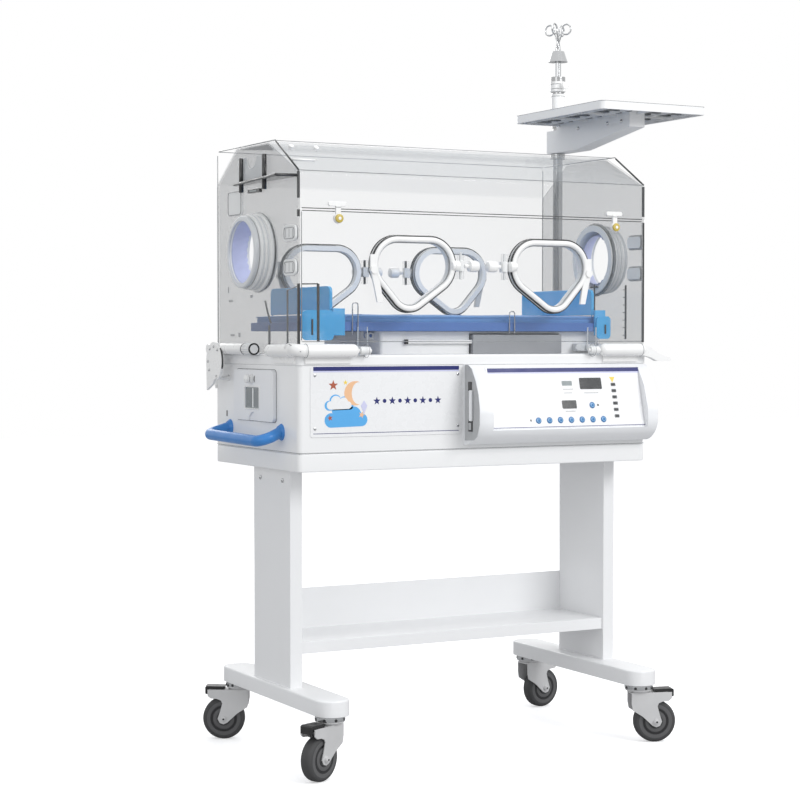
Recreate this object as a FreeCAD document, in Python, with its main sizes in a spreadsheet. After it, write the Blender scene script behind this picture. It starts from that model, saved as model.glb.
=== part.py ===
import FreeCAD, Part
import math
import os
import re
import Sketcher

# Infant incubator on a four-castor stand, in millimetres.
# The origin is on the floor under the middle of the stand.
# +X runs along the cabinet to its right end, +Y to its back, +Z up.

# Driving dimensions
SIZES = {
    # cabinet and stand
    "cabinet_length": 920,
    "cabinet_depth": 460,
    "cabinet_shift": 36,
    "cabinet_height": 194,
    "cabinet_wall": 4,
    "cabinet_round": 12,
    "seam_round": 2.5,
    "base_bottom": 666,
    "base_height": 40,
    "base_sheet": 3,
    "deck_height": 23,
    "deck_plate": 5,
    "deck_rim": 8,
    "deck_lip": 2,
    "deck_edge": 5,
    "air_slot": 12,
    "air_slot_inset": 24,
    "air_slot_half": 385,
    "leg_inset": 24,
    "leg_thick": 30,
    "leg_half": 98.5,
    "leg_wall": 2,
    "foot_inset": 14,
    "foot_wide": 78,
    "foot_half": 285,
    "foot_height": 36,
    "foot_round": 38,
    "foot_edge": 4,
    "foot_wall": 6,
    "foot_block": 85,
    "shelf_bottom": 250,
    "shelf_height": 27,
    "shelf_back": 123,
    "shelf_front": 93,
    "shelf_rear": 99,
    "shelf_sheet": 2,
    # castors
    "castor_inset": 51,
    "castor_across": 244,
    "castor_height": 139,
    "castor_gap": 0.3,
    "castor_trail": 38,
    "trail_front_left": 205,
    "trail_front_right": -20,
    "trail_rear_left": 152,
    "trail_rear_right": 8,
    "wheel_size": 50,
    "wheel_wide": 30,
    "wheel_round": 9,
    "hub_size": 16,
    "hub_wide": 34,
    "groove_outer": 31,
    "groove_inner": 26,
    "groove_deep": 2,
    "axle_size": 4,
    "axle_head": 7,
    "turn_slack": 0.06,
    "fork_inner": 18,
    "fork_sheet": 3,
    "fork_top": 120,
    "fork_back": 22,
    "fork_reach": 76,
    "fork_arm": 21,
    "cup_size": 32,
    "cup_waist": 25,
    "cup_cone": 5,
    "stem_size": 6,
    "stem_long": 26,
    "pedal_reach": 82,
    "pedal_half": 16,
    "pedal_pin": 3,
    "pedal_at": 46,
    # front controls
    "fascia_inset": 28,
    "fascia_right": 50,
    "fascia_thick": 1.5,
    "fascia_bottom": 36,
    "fascia_top": 2,
    "fascia_round": 6,
    "module_left": -45,
    "module_inset": 4,
    "module_bottom": 11,
    "module_top": 2,
    "module_round": 48,
    "cheek_left": 47,
    "cheek_right": 28,
    "face_top_depth": 12,
    "face_low_depth": 46,
    "face_top_drop": 7,
    "face_low_drop": 150,
    "panel_thick": 1.5,
    "panel_edge": 3,
    "key_size": 6.5,
    "key_rise": 1,
    "key_first": 131,
    "key_pitch": 30,
    "key_row": 127,
    "key_single": 284,
    "key_single_row": 93,
    # water drawer
    "service_half": 150,
    "service_thick": 3,
    "service_up": 50,
    "service_tall": 118,
    "service_round": 10,
    "filter_size": 46,
    "filter_thick": 12,
    "drawer_front": -80,
    "drawer_rear": 140,
    "drawer_low": 66,
    "drawer_tall": 116,
    "drawer_face": 8,
    "drawer_round": 11,
    "drawer_rim": 8,
    "drawer_wall": 3,
    "drawer_long": 135,
    "drawer_slack": 0.3,
    "drawer_side_slack": 1,
    "face_gap": 0.5,
    "tank_height": 74,
    "tank_wall": 2.5,
    "knob_size": 11,
    "knob_reach": 15,
    "knob_stem": 4,
    "knob_drop": 21,
    # air system
    "fan_along": 120,
    "fan_size": 52,
    "fan_hub": 15,
    "fan_height": 34,
    "fan_disc": 3,
    "fan_blade": 3,
    "fan_shaft": 4,
    "motor_size": 36,
    "motor_height": 62,
    "heater_size": 78,
    "heater_tube": 6,
    "intake_size": 56,
    # push handles
    "handle_tube": 12.5,
    "handle_out": 58,
    "handle_front": -128,
    "handle_rear": 182,
    "handle_front_foot": -105,
    "handle_rear_foot": 180,
    "handle_rise": 86,
    "handle_drop": 16,
    "handle_front_drop": 20,
    "handle_bend": 24,
    "handle_flange": 19,
    # mast and tray
    "mast_out": 30,
    "mast_inset": 26,
    "mast_tube": 12.5,
    "mast_bottom": 700,
    "mast_top": 1600,
    "mast_sleeve": 15,
    "mast_collar": 19,
    "collar_tall": 35,
    "clamp_half": 21,
    "clamp_tall": 40,
    "rod_size": 8,
    "rod_bottom": 1340,
    "rod_top": 1680,
    "cap_bottom": 1674,
    "cap_top": 1701,
    "cap_size": 25,
    "cap_neck": 16,
    "hook_wire": 2.2,
    "hook_loop": 13,
    "hook_reach": 23,
    "hook_rise": 56,
    "arm_half": 22.5,
    "arm_gap": 0.4,
    "arm_low": 1437,
    "arm_tip_low": 1474,
    "arm_flat": 120,
    "arm_reach": 354,
    "arm_tail": 18,
    "tray_low": 1503,
    "tray_tall": 20,
    "tray_half": 153,
    "tray_reach": 427,
    "tray_space": 37,
    "tray_wall": 4,
    "tray_rim": 6,
    "tray_round": 14,
    # bed
    "platform_left": -215,
    "platform_right": 385,
    "platform_ahead": 82,
    "platform_behind": 82,
    "platform_tall": 52.4,
    "platform_wall": 4,
    "cassette_left": 21,
    "cassette_right": 265,
    "cassette_ahead": 68,
    "cassette_behind": 116,
    "cassette_tall": 45,
    "cassette_wall": 2,
    "cassette_slack": 2.5,
    "bed_inset": 62,
    "bed_ahead": 58,
    "bed_behind": 58,
    "bed_gap": 0.4,
    "bed_tall": 20,
    "bed_floor": 5,
    "bed_rim": 6,
    "mattress_tall": 33,
    "mattress_round": 9,
    "soft_gap": 0.3,
    "tilt_inset": 8,
    "tilt_drop": 10,
    "tilt_pin": 4,
    "guard_inset": 48,
    "guard_thick": 8,
    "guard_tall": 62,
    "guard_round": 14,
    "guard_tab": 30,
    "guard_tab_thick": 6,
    # hood
    "hood_gap": 0.3,
    "hood_inset": 2,
    "hood_skin": 5,
    "hood_round": 16,
    "hood_front_tall": 402,
    "hood_rear_tall": 400,
    "hood_tall": 479.5,
    "hood_front_run": 164,
    "hood_rear_run": 119,
    "hood_rear_inset": 4,
    "hood_band": 320,
    "door_inset": 6,
    "door_low": 28,
    "door_top": 316,
    "door_gap": 0.4,
    "port_along": 180,
    "port_up": 180,
    "egg_half": 42,
    "egg_rise": 20,
    "egg_round": 65,
    "egg_drop": 33,
    "egg_low_round": 52,
    "egg_lean": 12,
    "port_ring": 15,
    "port_lap": 8,
    "port_flange": 6,
    "port_back": 3,
    "port_plate": 6,
    "port_gap": 0.3,
    "port_hinge_out": 122,
    "port_hinge_up": 20,
    "port_knuckle": 8,
    "port_knuckle_tall": 24,
    "port_pin": 3,
    "port_latch_out": 104,
    "latch_pin": 3.5,
    "latch_thick": 6,
    "door_latch_inset": 92,
    "door_latch_drop": 17,
    "door_latch_rise": 32,
    "door_latch_gap": 2,
    "iris_ahead": 16,
    "iris_up": 231,
    "iris_bore": 76,
    "iris_inner": 71,
    "iris_tube": 84,
    "iris_flange": 89,
    "iris_flange_thick": 6,
    "iris_long": 26,
    "iris_spigot": 76,
    "iris_spigot_long": 8,
    "iris_ring_out": 81,
    "iris_ring_long": 12,
    "grommet_inset": 8,
    "grommet_wide": 64,
    "grommet_tall": 36,
    "grommet_upper": 267,
    "grommet_lower": 192,
    "grommet_lap": 4,
    "grommet_thick": 5,
    "grommet_slack": 0.1,
    "grommet_round": 12,
    "grommet_plug_round": 8,
    # side hatch of the left end panel
    "hatch_inset": 76,
    "hatch_wide": 82,
    "hatch_up": 321,
    "hatch_tall": 56,
    "hatch_thick": 3,
    "hatch_round": 6,
    # breathing-tube holder
    "holder_up": 371,
    "holder_tall": 79,
    "holder_rod": 5.5,
    "holder_front": -25,
    "holder_rear": 103,
    "holder_plate": 4,
    "notch_at": 54,
    "notch_size": 32,
    "holder_shelf_up": 17,
    "holder_shelf_thick": 7,
    "holder_shelf_out": 50,
    "holder_shelf_tail": 12,
    "holder_shelf_front": -188,
    "holder_shelf_rear": 132,
    # hinges
    "hinge_back": 26,
    "hinge_up": 11,
    "hinge_pin": 5,
    "hinge_lug": 26,
    "hinge_arm": 8,
    "hinge_space": 4,
    "door_pin": 4,
    "door_pin_out": 13,
    "door_pin_up": 9,
    "door_cover": 15,
    "knuckle_size": 9,
    "knuckle_from": 292,
    "knuckle_wide": 24,
    "knuckle_gap": 3.5,
    "door_cover_left": 446,
    "door_cover_right": 434,
    "side_cover": 14,
    "side_cover_front": -185,
    "side_cover_rear": -77,
    "peg_size": 4,
    "peg_ahead": 104.5,
    "peg_drop": 67.5,
    "peg_long": 36,
    "peg_room": 2,
    "fan_plate_size": 46,
    "fan_plate_ahead": 93,
    "fan_plate_drop": 29,
    "fan_plate_thick": 6,
    "grip_size": 12.5,
    "grip_out": 20,
    "grip_front": 238,
    "grip_rear": 100,
    "hinge_knob": 13,
    "hinge_knob_long": 46,
}

# Places that several pieces share, as sheet expressions
FRONT = "(cabinet_shift - cabinet_depth / 2)"
REAR = "(cabinet_shift + cabinet_depth / 2)"
END = "(cabinet_length / 2)"
LEG_OUT = f"({END} - leg_inset)"
FOOT_OUT = f"({END} - foot_inset)"
CASTOR_X = f"({END} - castor_inset)"
FOOT_TOP = "(castor_height + foot_height)"
BASE_TOP = "(base_bottom + base_height)"
SHELL_TOP = f"({BASE_TOP} + cabinet_height)"
DECK_TOP = f"({SHELL_TOP} + deck_height)"
HOOD_END = f"({END} - hood_inset)"
HOOD_LOW = f"({DECK_TOP} + hood_gap)"
HOOD_BACK = f"({REAR} - hood_rear_inset)"
HINGE_Y = f"({REAR} + hinge_back)"
HINGE_Z = f"({DECK_TOP} + hinge_up)"
DOOR_OUT = f"({FRONT} - door_gap)"
DOOR_LATCH_X = f"({HOOD_END} - door_latch_inset)"
DOOR_LATCH_Z = f"({DECK_TOP} + door_top - door_latch_drop)"
DOOR_PIN_Y = f"({FRONT} - door_pin_out)"
DOOR_PIN_Z = f"({DECK_TOP} + door_pin_up)"
PORT_Z = f"({DECK_TOP} + port_up)"
IRIS_Y = "(cabinet_shift - iris_ahead)"
IRIS_Z = f"({DECK_TOP} + iris_up)"
GROMMET_FRONT = f"({FRONT} + grommet_inset)"
GROMMET_REAR = f"({GROMMET_FRONT} + grommet_wide)"
PLATFORM_FRONT = f"({FRONT} + platform_ahead)"
PLATFORM_REAR = f"({REAR} - platform_behind)"
BED_HALF = f"({END} - bed_inset)"
BED_FRONT = f"({FRONT} + bed_ahead)"
BED_REAR = f"({REAR} - bed_behind)"
DRAWER_LOW = f"({BASE_TOP} + drawer_low)"
DRAWER_TOP = f"({DRAWER_LOW} + drawer_tall)"
BED_LOW = f"({DECK_TOP} + platform_tall + bed_gap)"
BED_TOP = f"({BED_LOW} + bed_tall)"
MATTRESS_LOW = f"({BED_LOW} + bed_floor + soft_gap)"
MATTRESS_TOP = f"({MATTRESS_LOW} + mattress_tall)"
MAST_X = f"({END} + mast_out)"
MAST_Y = f"({REAR} - mast_inset)"
MAST_AT = (MAST_X, MAST_Y)
TRAY_FRONT = f"({MAST_Y} - tray_reach)"
TRAY_REAR = f"({MAST_Y} - tray_space)"
ARM_FRONT = f"({MAST_Y} - arm_reach)"
ARM_REAR = f"({MAST_Y} + arm_tail)"
HOLDER_LOW = f"({DECK_TOP} + holder_up)"
HOLDER_TOP = f"({HOLDER_LOW} + holder_tall)"
TOUCH = 0.1
GUESS = 100

DOC = FreeCAD.newDocument("InfantIncubator")
NODES = []
MEASURED = {}


def make_sheet():
    sheet = DOC.addObject("Spreadsheet::Sheet", "Sizes")
    for row, (alias, number) in enumerate(SIZES.items(), start=1):
        sheet.set(f"A{row}", alias)
        sheet.set(f"B{row}", str(number))
        sheet.setAlias(f"B{row}", alias)
    DOC.addObject("Spreadsheet::Sheet", "Measures")
    DOC.recompute()


def bound(text):
    """Turn the plain words of an expression into references to the sheet."""
    def reference(match):
        word = match.group(0)
        return f"Sizes.{word}" if word in SIZES else word
    return re.sub(r"[a-z_]+", reference, str(text))


def bind(item, prop, text):
    item.setExpression(prop, bound(text))


def number(text):
    """The present value of an expression, for edge tests and shapes that take plain numbers."""
    measures = DOC.getObject("Measures")
    if text not in MEASURED:
        MEASURED[text] = f"A{len(MEASURED) + 1}"
        measures.set(MEASURED[text], "=" + bound(text))
        measures.recompute()
    return float(measures.get(MEASURED[text]))


def node(name, item):
    item.Label = name
    NODES.append(item)
    return item


# Simple solids

TURN_TO = {
    "X": FreeCAD.Rotation(FreeCAD.Vector(0, 1, 0), 90),
    "Y": FreeCAD.Rotation(FreeCAD.Vector(1, 0, 0), -90),
    "Z": FreeCAD.Rotation(),
}


def block(name, x, y, z):
    """A box between pairs of low and high expressions."""
    box = DOC.addObject("Part::Box", name)
    for side, axis, (low, high) in zip(("Length", "Width", "Height"), "xyz", (x, y, z)):
        bind(box, side, f"({high}) - ({low})")
        bind(box, f"Placement.Base.{axis}", low)
    return box


def rod(name, radius, along, low, high, across, tip=None):
    """A cylinder, or a cone if a tip radius is given, from low to high along one axis."""
    kind = "Part::Cylinder" if tip is None else "Part::Cone"
    round_solid = DOC.addObject(kind, name)
    round_solid.Placement = FreeCAD.Placement(FreeCAD.Vector(), TURN_TO[along])
    if tip is None:
        bind(round_solid, "Radius", radius)
    else:
        bind(round_solid, "Radius1", radius)
        bind(round_solid, "Radius2", tip)
    bind(round_solid, "Height", f"({high}) - ({low})")
    others = list(across)
    for axis in "XYZ":
        place = low if axis == along else others.pop(0)
        bind(round_solid, f"Placement.Base.{axis.lower()}", place)
    return round_solid


def ball(name, radius, place):
    sphere = DOC.addObject("Part::Sphere", name)
    bind(sphere, "Radius", radius)
    for axis, text in zip("xyz", place):
        bind(sphere, f"Placement.Base.{axis}", text)
    return sphere


def fuse(name, *parts):
    joined = DOC.addObject("Part::MultiFuse", name)
    joined.Shapes = list(parts)
    joined.Refine = True
    return joined


def cut(name, base, *tools):
    tool = tools[0] if len(tools) == 1 else fuse(name + "Tools", *tools)
    result = DOC.addObject("Part::Cut", name)
    result.Base = base
    result.Tool = tool
    return result


def common(name, base, tool):
    result = DOC.addObject("Part::Common", name)
    result.Base = base
    result.Tool = tool
    return result


def group(name, *parts):
    bundle = DOC.addObject("Part::Compound", name)
    bundle.Links = list(parts)
    return bundle


def mirrored(name, source):
    twin = DOC.addObject("Part::Mirroring", name)
    twin.Source = source
    twin.Normal = (1, 0, 0)
    return twin


def ring(name, outer, inner, along, low, high, across):
    return cut(name, rod(name + "Out", outer, along, low, high, across),
               rod(name + "In", inner, along, f"{low} - 1", f"{high} + 1", across))


def runs(axis, test=lambda edge: True):
    """Pick the straight edges that run along one axis."""
    def wanted(edge):
        if edge.Curve.TypeId != "Part::GeomLine":
            return False
        return abs(getattr(edge.Curve.Direction, axis.lower())) > 0.999 and test(edge)
    return wanted


def level(height):
    """Pick every edge that lies flat at one height."""
    def wanted(edge):
        low, high = edge.BoundBox.ZMin, edge.BoundBox.ZMax
        return abs(low - height) < 0.01 and abs(high - height) < 0.01
    return wanted


def rounded(name, base, size, wanted):
    DOC.recompute()
    soft = DOC.addObject("Part::Fillet", name)
    soft.Base = base
    edges = enumerate(base.Shape.Edges, start=1)
    soft.Edges = [(index, size, size) for index, edge in edges if wanted(edge)]
    return soft


# Sketched solids

SIDES = {"XY": ("XY_Plane", 1), "XZ": ("XZ_Plane", -1), "YZ": ("YZ_Plane", 1)}


def start_sketch(name, plane, low, high, shift=("0", "0")):
    """A body with an empty sketch on one of its own planes, moved to where the pad starts."""
    body = DOC.addObject("PartDesign::Body", name)
    DOC.recompute()
    role, way = SIDES[plane]
    sketch = body.newObject("Sketcher::SketchObject", name + "Outline")
    support = next(item for item in body.Origin.OriginFeatures if item.Role == role)
    sketch.AttachmentSupport = [(support, "")]
    sketch.MapMode = "FlatFace"
    bind(sketch, "AttachmentOffset.Base.x", shift[0])
    bind(sketch, "AttachmentOffset.Base.y", shift[1])
    bind(sketch, "AttachmentOffset.Base.z", low if way > 0 else f"-({high})")
    return body, sketch


def tie(sketch, kind, first, point, number, text):
    """Add a distance or radius that follows an expression."""
    if kind == "Radius":
        index = sketch.addConstraint(Sketcher.Constraint(kind, first, number))
    else:
        index = sketch.addConstraint(Sketcher.Constraint(kind, -1, 1, first, point, number))
    bind(sketch, f"Constraints[{index}]", text)


def pad(body, sketch, low, high):
    raised = body.newObject("PartDesign::Pad", body.Name + "Pad")
    raised.Profile = sketch
    bind(raised, "Length", f"({high}) - ({low})")
    return raised


def prism(name, plane, points, low, high):
    """A closed outline of straight sides, padded between two places along its normal."""
    body, sketch = start_sketch(name, plane, low, high)
    count = len(points)
    first = [FreeCAD.Vector(GUESS * math.cos(2 * math.pi * index / count),
                            GUESS * math.sin(2 * math.pi * index / count), 0)
             for index in range(count)]
    for index in range(count):
        sketch.addGeometry(Part.LineSegment(first[index], first[(index + 1) % count]))
    for index in range(count):
        sketch.addConstraint(Sketcher.Constraint("Coincident", index, 2, (index + 1) % count, 1))
    for index, (across, up) in enumerate(points):
        tie(sketch, "DistanceX", index, 1, first[index].x, across)
        tie(sketch, "DistanceY", index, 1, first[index].y, up)
    DOC.recompute()
    pad(body, sketch, low, high)
    return body


def soften(body, radius, wanted):
    """Round the wanted edges of a body's last feature."""
    DOC.recompute()
    last = body.Tip
    names = [f"Edge{index}" for index, edge in enumerate(last.Shape.Edges, start=1) if wanted(edge)]
    soft = body.newObject("PartDesign::Fillet", body.Name + "Round")
    soft.Base = (last, names)
    bind(soft, "Radius", radius)
    return body


def egg(name, centre_x, centre_z, lean, grow, low, high):
    """The rounded three-cornered outline of an arm port, grown by a margin, padded along Y.

    Two equal arcs make the broad top and a smaller one the low point, which leans to one side.
    """
    size = SIZES
    margin = grow_number(grow)
    circles = [
        (lean * size["egg_lean"], -size["egg_drop"], size["egg_low_round"] + margin),
        (size["egg_half"], size["egg_rise"], size["egg_round"] + margin),
        (-size["egg_half"], size["egg_rise"], size["egg_round"] + margin),
    ]
    texts = [
        (f"{lean} * egg_lean", "-egg_drop", f"egg_low_round + {grow}"),
        ("egg_half", "egg_rise", f"egg_round + {grow}"),
        ("-egg_half", "egg_rise", f"egg_round + {grow}"),
    ]
    body, sketch = start_sketch(name, "XZ", low, high, (centre_x, centre_z))
    leave = []
    for index in range(3):
        x0, z0, size0 = circles[index]
        x1, z1, size1 = circles[(index + 1) % 3]
        reach = math.hypot(x1 - x0, z1 - z0)
        leave.append(math.atan2(z1 - z0, x1 - x0) - math.acos((size0 - size1) / reach))
    for index, (x, z, radius) in enumerate(circles):
        start = leave[index - 1]
        finish = leave[index]
        while finish < start:
            finish += 2 * math.pi
        circle = Part.Circle(FreeCAD.Vector(x, z, 0), FreeCAD.Vector(0, 0, 1), radius)
        sketch.addGeometry(Part.ArcOfCircle(circle, start, finish))
    for index in range(3):
        turn = FreeCAD.Vector(math.cos(leave[index]), math.sin(leave[index]), 0)
        x0, z0, size0 = circles[index]
        x1, z1, size1 = circles[(index + 1) % 3]
        sketch.addGeometry(Part.LineSegment(FreeCAD.Vector(x0, z0, 0) + turn * size0,
                                            FreeCAD.Vector(x1, z1, 0) + turn * size1))
    for index in range(3):
        sketch.addConstraint(Sketcher.Constraint("Tangent", index, 2, 3 + index, 1))
        sketch.addConstraint(Sketcher.Constraint("Tangent", 3 + index, 2, (index + 1) % 3, 1))
    for index, (across, up, radius) in enumerate(texts):
        tie(sketch, "DistanceX", index, 3, circles[index][0], across)
        tie(sketch, "DistanceY", index, 3, circles[index][1], up)
        tie(sketch, "Radius", index, 0, circles[index][2], radius)
    DOC.recompute()
    pad(body, sketch, low, high)
    return body


def grow_number(grow):
    """The value of a margin such as -port_lap, for the first guess of a sketch."""
    total = 0
    for sign, word in re.findall(r"([-+]?)\s*([a-z_]+)", grow):
        total += -SIZES[word] if sign == "-" else SIZES[word]
    return total


def bent_tube(points, radius, bend):
    """A round bar along straight runs joined by tangent arcs."""
    corners = [FreeCAD.Vector(*point) for point in points]
    edges = []
    last = corners[0]
    for before, corner, after in zip(corners, corners[1:], corners[2:]):
        into = (corner - before).normalize()
        away = (after - corner).normalize()
        turn = into.getAngle(away)
        back = bend * math.tan(turn / 2)
        enter = corner - into * back
        leave = corner + away * back
        middle_way = (away - into).normalize()
        middle = corner + middle_way * (bend / math.cos(turn / 2) - bend)
        edges.append(Part.LineSegment(last, enter).toShape())
        edges.append(Part.Arc(enter, middle, leave).toShape())
        last = leave
    edges.append(Part.LineSegment(last, corners[-1]).toShape())
    start = corners[0]
    circle = Part.makeCircle(radius, start, corners[1] - start)
    return Part.Wire(edges).makePipeShell([Part.Wire([circle])], True, True)


# Stand

def make_legs():
    post = cut("Post",
               block("PostOuter", (f"-{LEG_OUT}", f"-{LEG_OUT} + leg_thick"),
                     ("-leg_half", "leg_half"), (FOOT_TOP, "base_bottom")),
               block("PostHollow", (f"-{LEG_OUT} + leg_wall", f"-{LEG_OUT} + leg_thick - leg_wall"),
                     ("-leg_half + leg_wall", "leg_half - leg_wall"),
                     (f"{FOOT_TOP} - 1", "base_bottom + 1")))
    slab = block("FootSlab", (f"-{FOOT_OUT}", f"-{FOOT_OUT} + foot_wide"),
                 ("-foot_half", "foot_half"), ("castor_height", FOOT_TOP))
    slab = rounded("FootEnds", slab, SIZES["foot_round"], runs("Z"))
    slab = rounded("FootTop", slab, SIZES["foot_edge"], level(number(FOOT_TOP)))
    reach = "(foot_half - foot_block)"
    hollow = block("FootHollow", (f"-{FOOT_OUT} + foot_wall", f"-{FOOT_OUT} + foot_wide - foot_wall"),
                   (f"-{reach}", reach), ("castor_height - 1", f"{FOOT_TOP} - foot_wall"))
    bores = [rod(f"StemBore{way}", "stem_size + turn_slack", "Z", "castor_height - 1",
                 "castor_height + stem_long + 1", (f"-{CASTOR_X}", f"{way} * castor_across"))
             for way in (-1, 1)]
    foot = cut("Foot", slab, hollow, *bores)
    left = node("leg_left", fuse("LegLeft", post, foot))
    node("leg_right", mirrored("LegRight", left))


def make_shelf():
    top = "(shelf_bottom + shelf_height)"
    side = f"({LEG_OUT} - leg_thick)"
    outline = [
        ("-shelf_front", "shelf_bottom"),
        ("-shelf_front", top),
        ("shelf_rear - shelf_sheet", top),
        ("shelf_rear - shelf_sheet", "shelf_bottom + shelf_back"),
        ("shelf_rear", "shelf_bottom + shelf_back"),
        ("shelf_rear", "shelf_bottom"),
        ("shelf_rear - shelf_sheet", "shelf_bottom"),
        ("shelf_rear - shelf_sheet", f"{top} - shelf_sheet"),
        ("-shelf_front + shelf_sheet", f"{top} - shelf_sheet"),
        ("-shelf_front + shelf_sheet", "shelf_bottom"),
    ]
    node("storage_shelf", prism("StorageShelf", "YZ", outline, f"-{side}", side))


def make_base():
    outer = block("BaseOuter", (f"-{END}", END), (FRONT, REAR), ("base_bottom", BASE_TOP))
    outer = rounded("BaseCorners", outer, SIZES["cabinet_round"], runs("Z"))
    heights = (SIZES["base_bottom"], number(BASE_TOP))
    outer = rounded("BaseEdges", outer, SIZES["seam_round"],
                    lambda edge: any(level(height)(edge) for height in heights))
    hollow = block("BaseHollow", (f"-{END} + cabinet_wall", f"{END} - cabinet_wall"),
                   (f"{FRONT} + cabinet_wall", f"{REAR} - cabinet_wall"),
                   ("base_bottom + base_sheet", f"{BASE_TOP} + 1"))
    node("base_frame", cut("BaseFrame", outer, hollow))


def make_cabinet():
    outer = block("ShellOuter", (f"-{END}", END), (FRONT, REAR), (BASE_TOP, SHELL_TOP))
    outer = rounded("ShellCorners", outer, SIZES["cabinet_round"], runs("Z"))
    outer = rounded("ShellEdge", outer, SIZES["seam_round"], level(number(BASE_TOP)))
    hollow = block("ShellHollow", (f"-{END} + cabinet_wall", f"{END} - cabinet_wall"),
                   (f"{FRONT} + cabinet_wall", f"{REAR} - cabinet_wall"),
                   (f"{BASE_TOP} + cabinet_wall", f"{SHELL_TOP} + 1"))
    mouth = block("DrawerMouth", (f"-{END} - 1", f"-{END} + 2 * cabinet_wall"),
                  ("drawer_front + drawer_rim - drawer_side_slack",
                   "drawer_rear - drawer_rim + drawer_side_slack"),
                  (f"{DRAWER_LOW} + drawer_rim - drawer_slack",
                   f"{DRAWER_TOP} - drawer_rim + drawer_side_slack"))
    filter_hole = block("FilterHole", ("-120", "20"), (f"{REAR} - 10", f"{REAR} + 1"),
                        (f"{BASE_TOP} + 64", f"{BASE_TOP} + 154"))
    node("cabinet_shell", cut("CabinetShell", outer, hollow, mouth, filter_hole))


def make_deck():
    edge = f"({END} + deck_lip)"
    outer = block("DeckOuter", (f"-{edge}", edge),
                  (f"{FRONT} - deck_lip", f"{REAR} + deck_lip"), (SHELL_TOP, DECK_TOP))
    outer = rounded("DeckCorners", outer, SIZES["cabinet_round"], runs("Z"))
    outer = rounded("DeckTopEdge", outer, SIZES["deck_edge"], level(number(DECK_TOP)))
    hollow = block("DeckHollow", (f"-{edge} + deck_rim", f"{edge} - deck_rim"),
                   (f"{FRONT} - deck_lip + deck_rim", f"{REAR} + deck_lip - deck_rim"),
                   (f"{SHELL_TOP} - 1", f"{DECK_TOP} - deck_plate"))
    slots = [block(f"AirSlot{index}", ("-air_slot_half", "air_slot_half"), span,
                   (f"{SHELL_TOP}", f"{DECK_TOP} + 1"))
             for index, span in enumerate((
                 (f"{FRONT} + air_slot_inset", f"{FRONT} + air_slot_inset + air_slot"),
                 (f"{REAR} - air_slot_inset - air_slot", f"{REAR} - air_slot_inset")))]
    intake = rod("AirIntake", "intake_size", "Z", SHELL_TOP, f"{DECK_TOP} + 1",
                 ("fan_along", "cabinet_shift"))
    node("deck", cut("Deck", outer, hollow, intake, *slots))


def make_fascia():
    plate = block("FasciaPlate", (f"-({END} - fascia_inset)", "-fascia_right"),
                  (f"{FRONT} - fascia_thick", FRONT),
                  (f"{BASE_TOP} + fascia_bottom", f"{SHELL_TOP} - fascia_top"))
    node("front_fascia", rounded("FrontFascia", plate, SIZES["fascia_round"], runs("Y")))


def make_handles():
    size = SIZES
    end = -number(END)
    high = size["base_bottom"] + size["handle_rise"]
    out = end - size["handle_out"]
    route = [
        (end, size["handle_rear_foot"], high),
        (out, size["handle_rear"], high - size["handle_drop"]),
        (out, size["handle_front"], high - size["handle_front_drop"]),
        (end, size["handle_front_foot"], high),
    ]
    bar = DOC.addObject("Part::Feature", "HandleBar")
    bar.Shape = bent_tube(route, size["handle_tube"], size["handle_bend"])
    trim = block("HandleTrim", (f"-{END}", f"-{END} + handle_out"), (FRONT, REAR),
                 (BASE_TOP, SHELL_TOP))
    grip = cut("HandleGrip", bar, trim)
    flanges = [rod(f"HandleFlange{index}", "handle_tube + 1", "X", f"-{END} - 8", f"-{END}",
                   (f"handle_{place}_foot", "base_bottom + handle_rise - 1"), tip="handle_flange")
               for index, place in enumerate(("front", "rear"))]
    left = fuse("HandleLeft", grip, *flanges)
    node("push_handles", group("PushHandles", left, mirrored("HandleRight", left)))


# Castors, each made with its swivel axis on Z and its wheel trailing towards +X

FORK_SIDE = [
    ("-fork_back", "fork_top"),
    ("fork_reach", "fork_top"),
    ("fork_reach", "fork_top - fork_arm + 6"),
    ("fork_reach - 7", "fork_top - fork_arm"),
    ("castor_trail + 16", "fork_top - fork_arm - 1"),
    ("castor_trail + 6", "fork_top - fork_arm - 5"),
    ("castor_trail + 3", "fork_top - fork_arm - 12"),
    ("castor_trail + 8", "wheel_size + 18"),
    ("castor_trail + 14", "wheel_size"),
    ("castor_trail + 9", "wheel_size - 10"),
    ("castor_trail", "wheel_size - 13"),
    ("castor_trail - 9", "wheel_size - 9"),
    ("castor_trail - 33", "wheel_size + 13"),
    ("-fork_back + 3", "wheel_size + 28"),
    ("-fork_back", "wheel_size + 44"),
]


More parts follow.
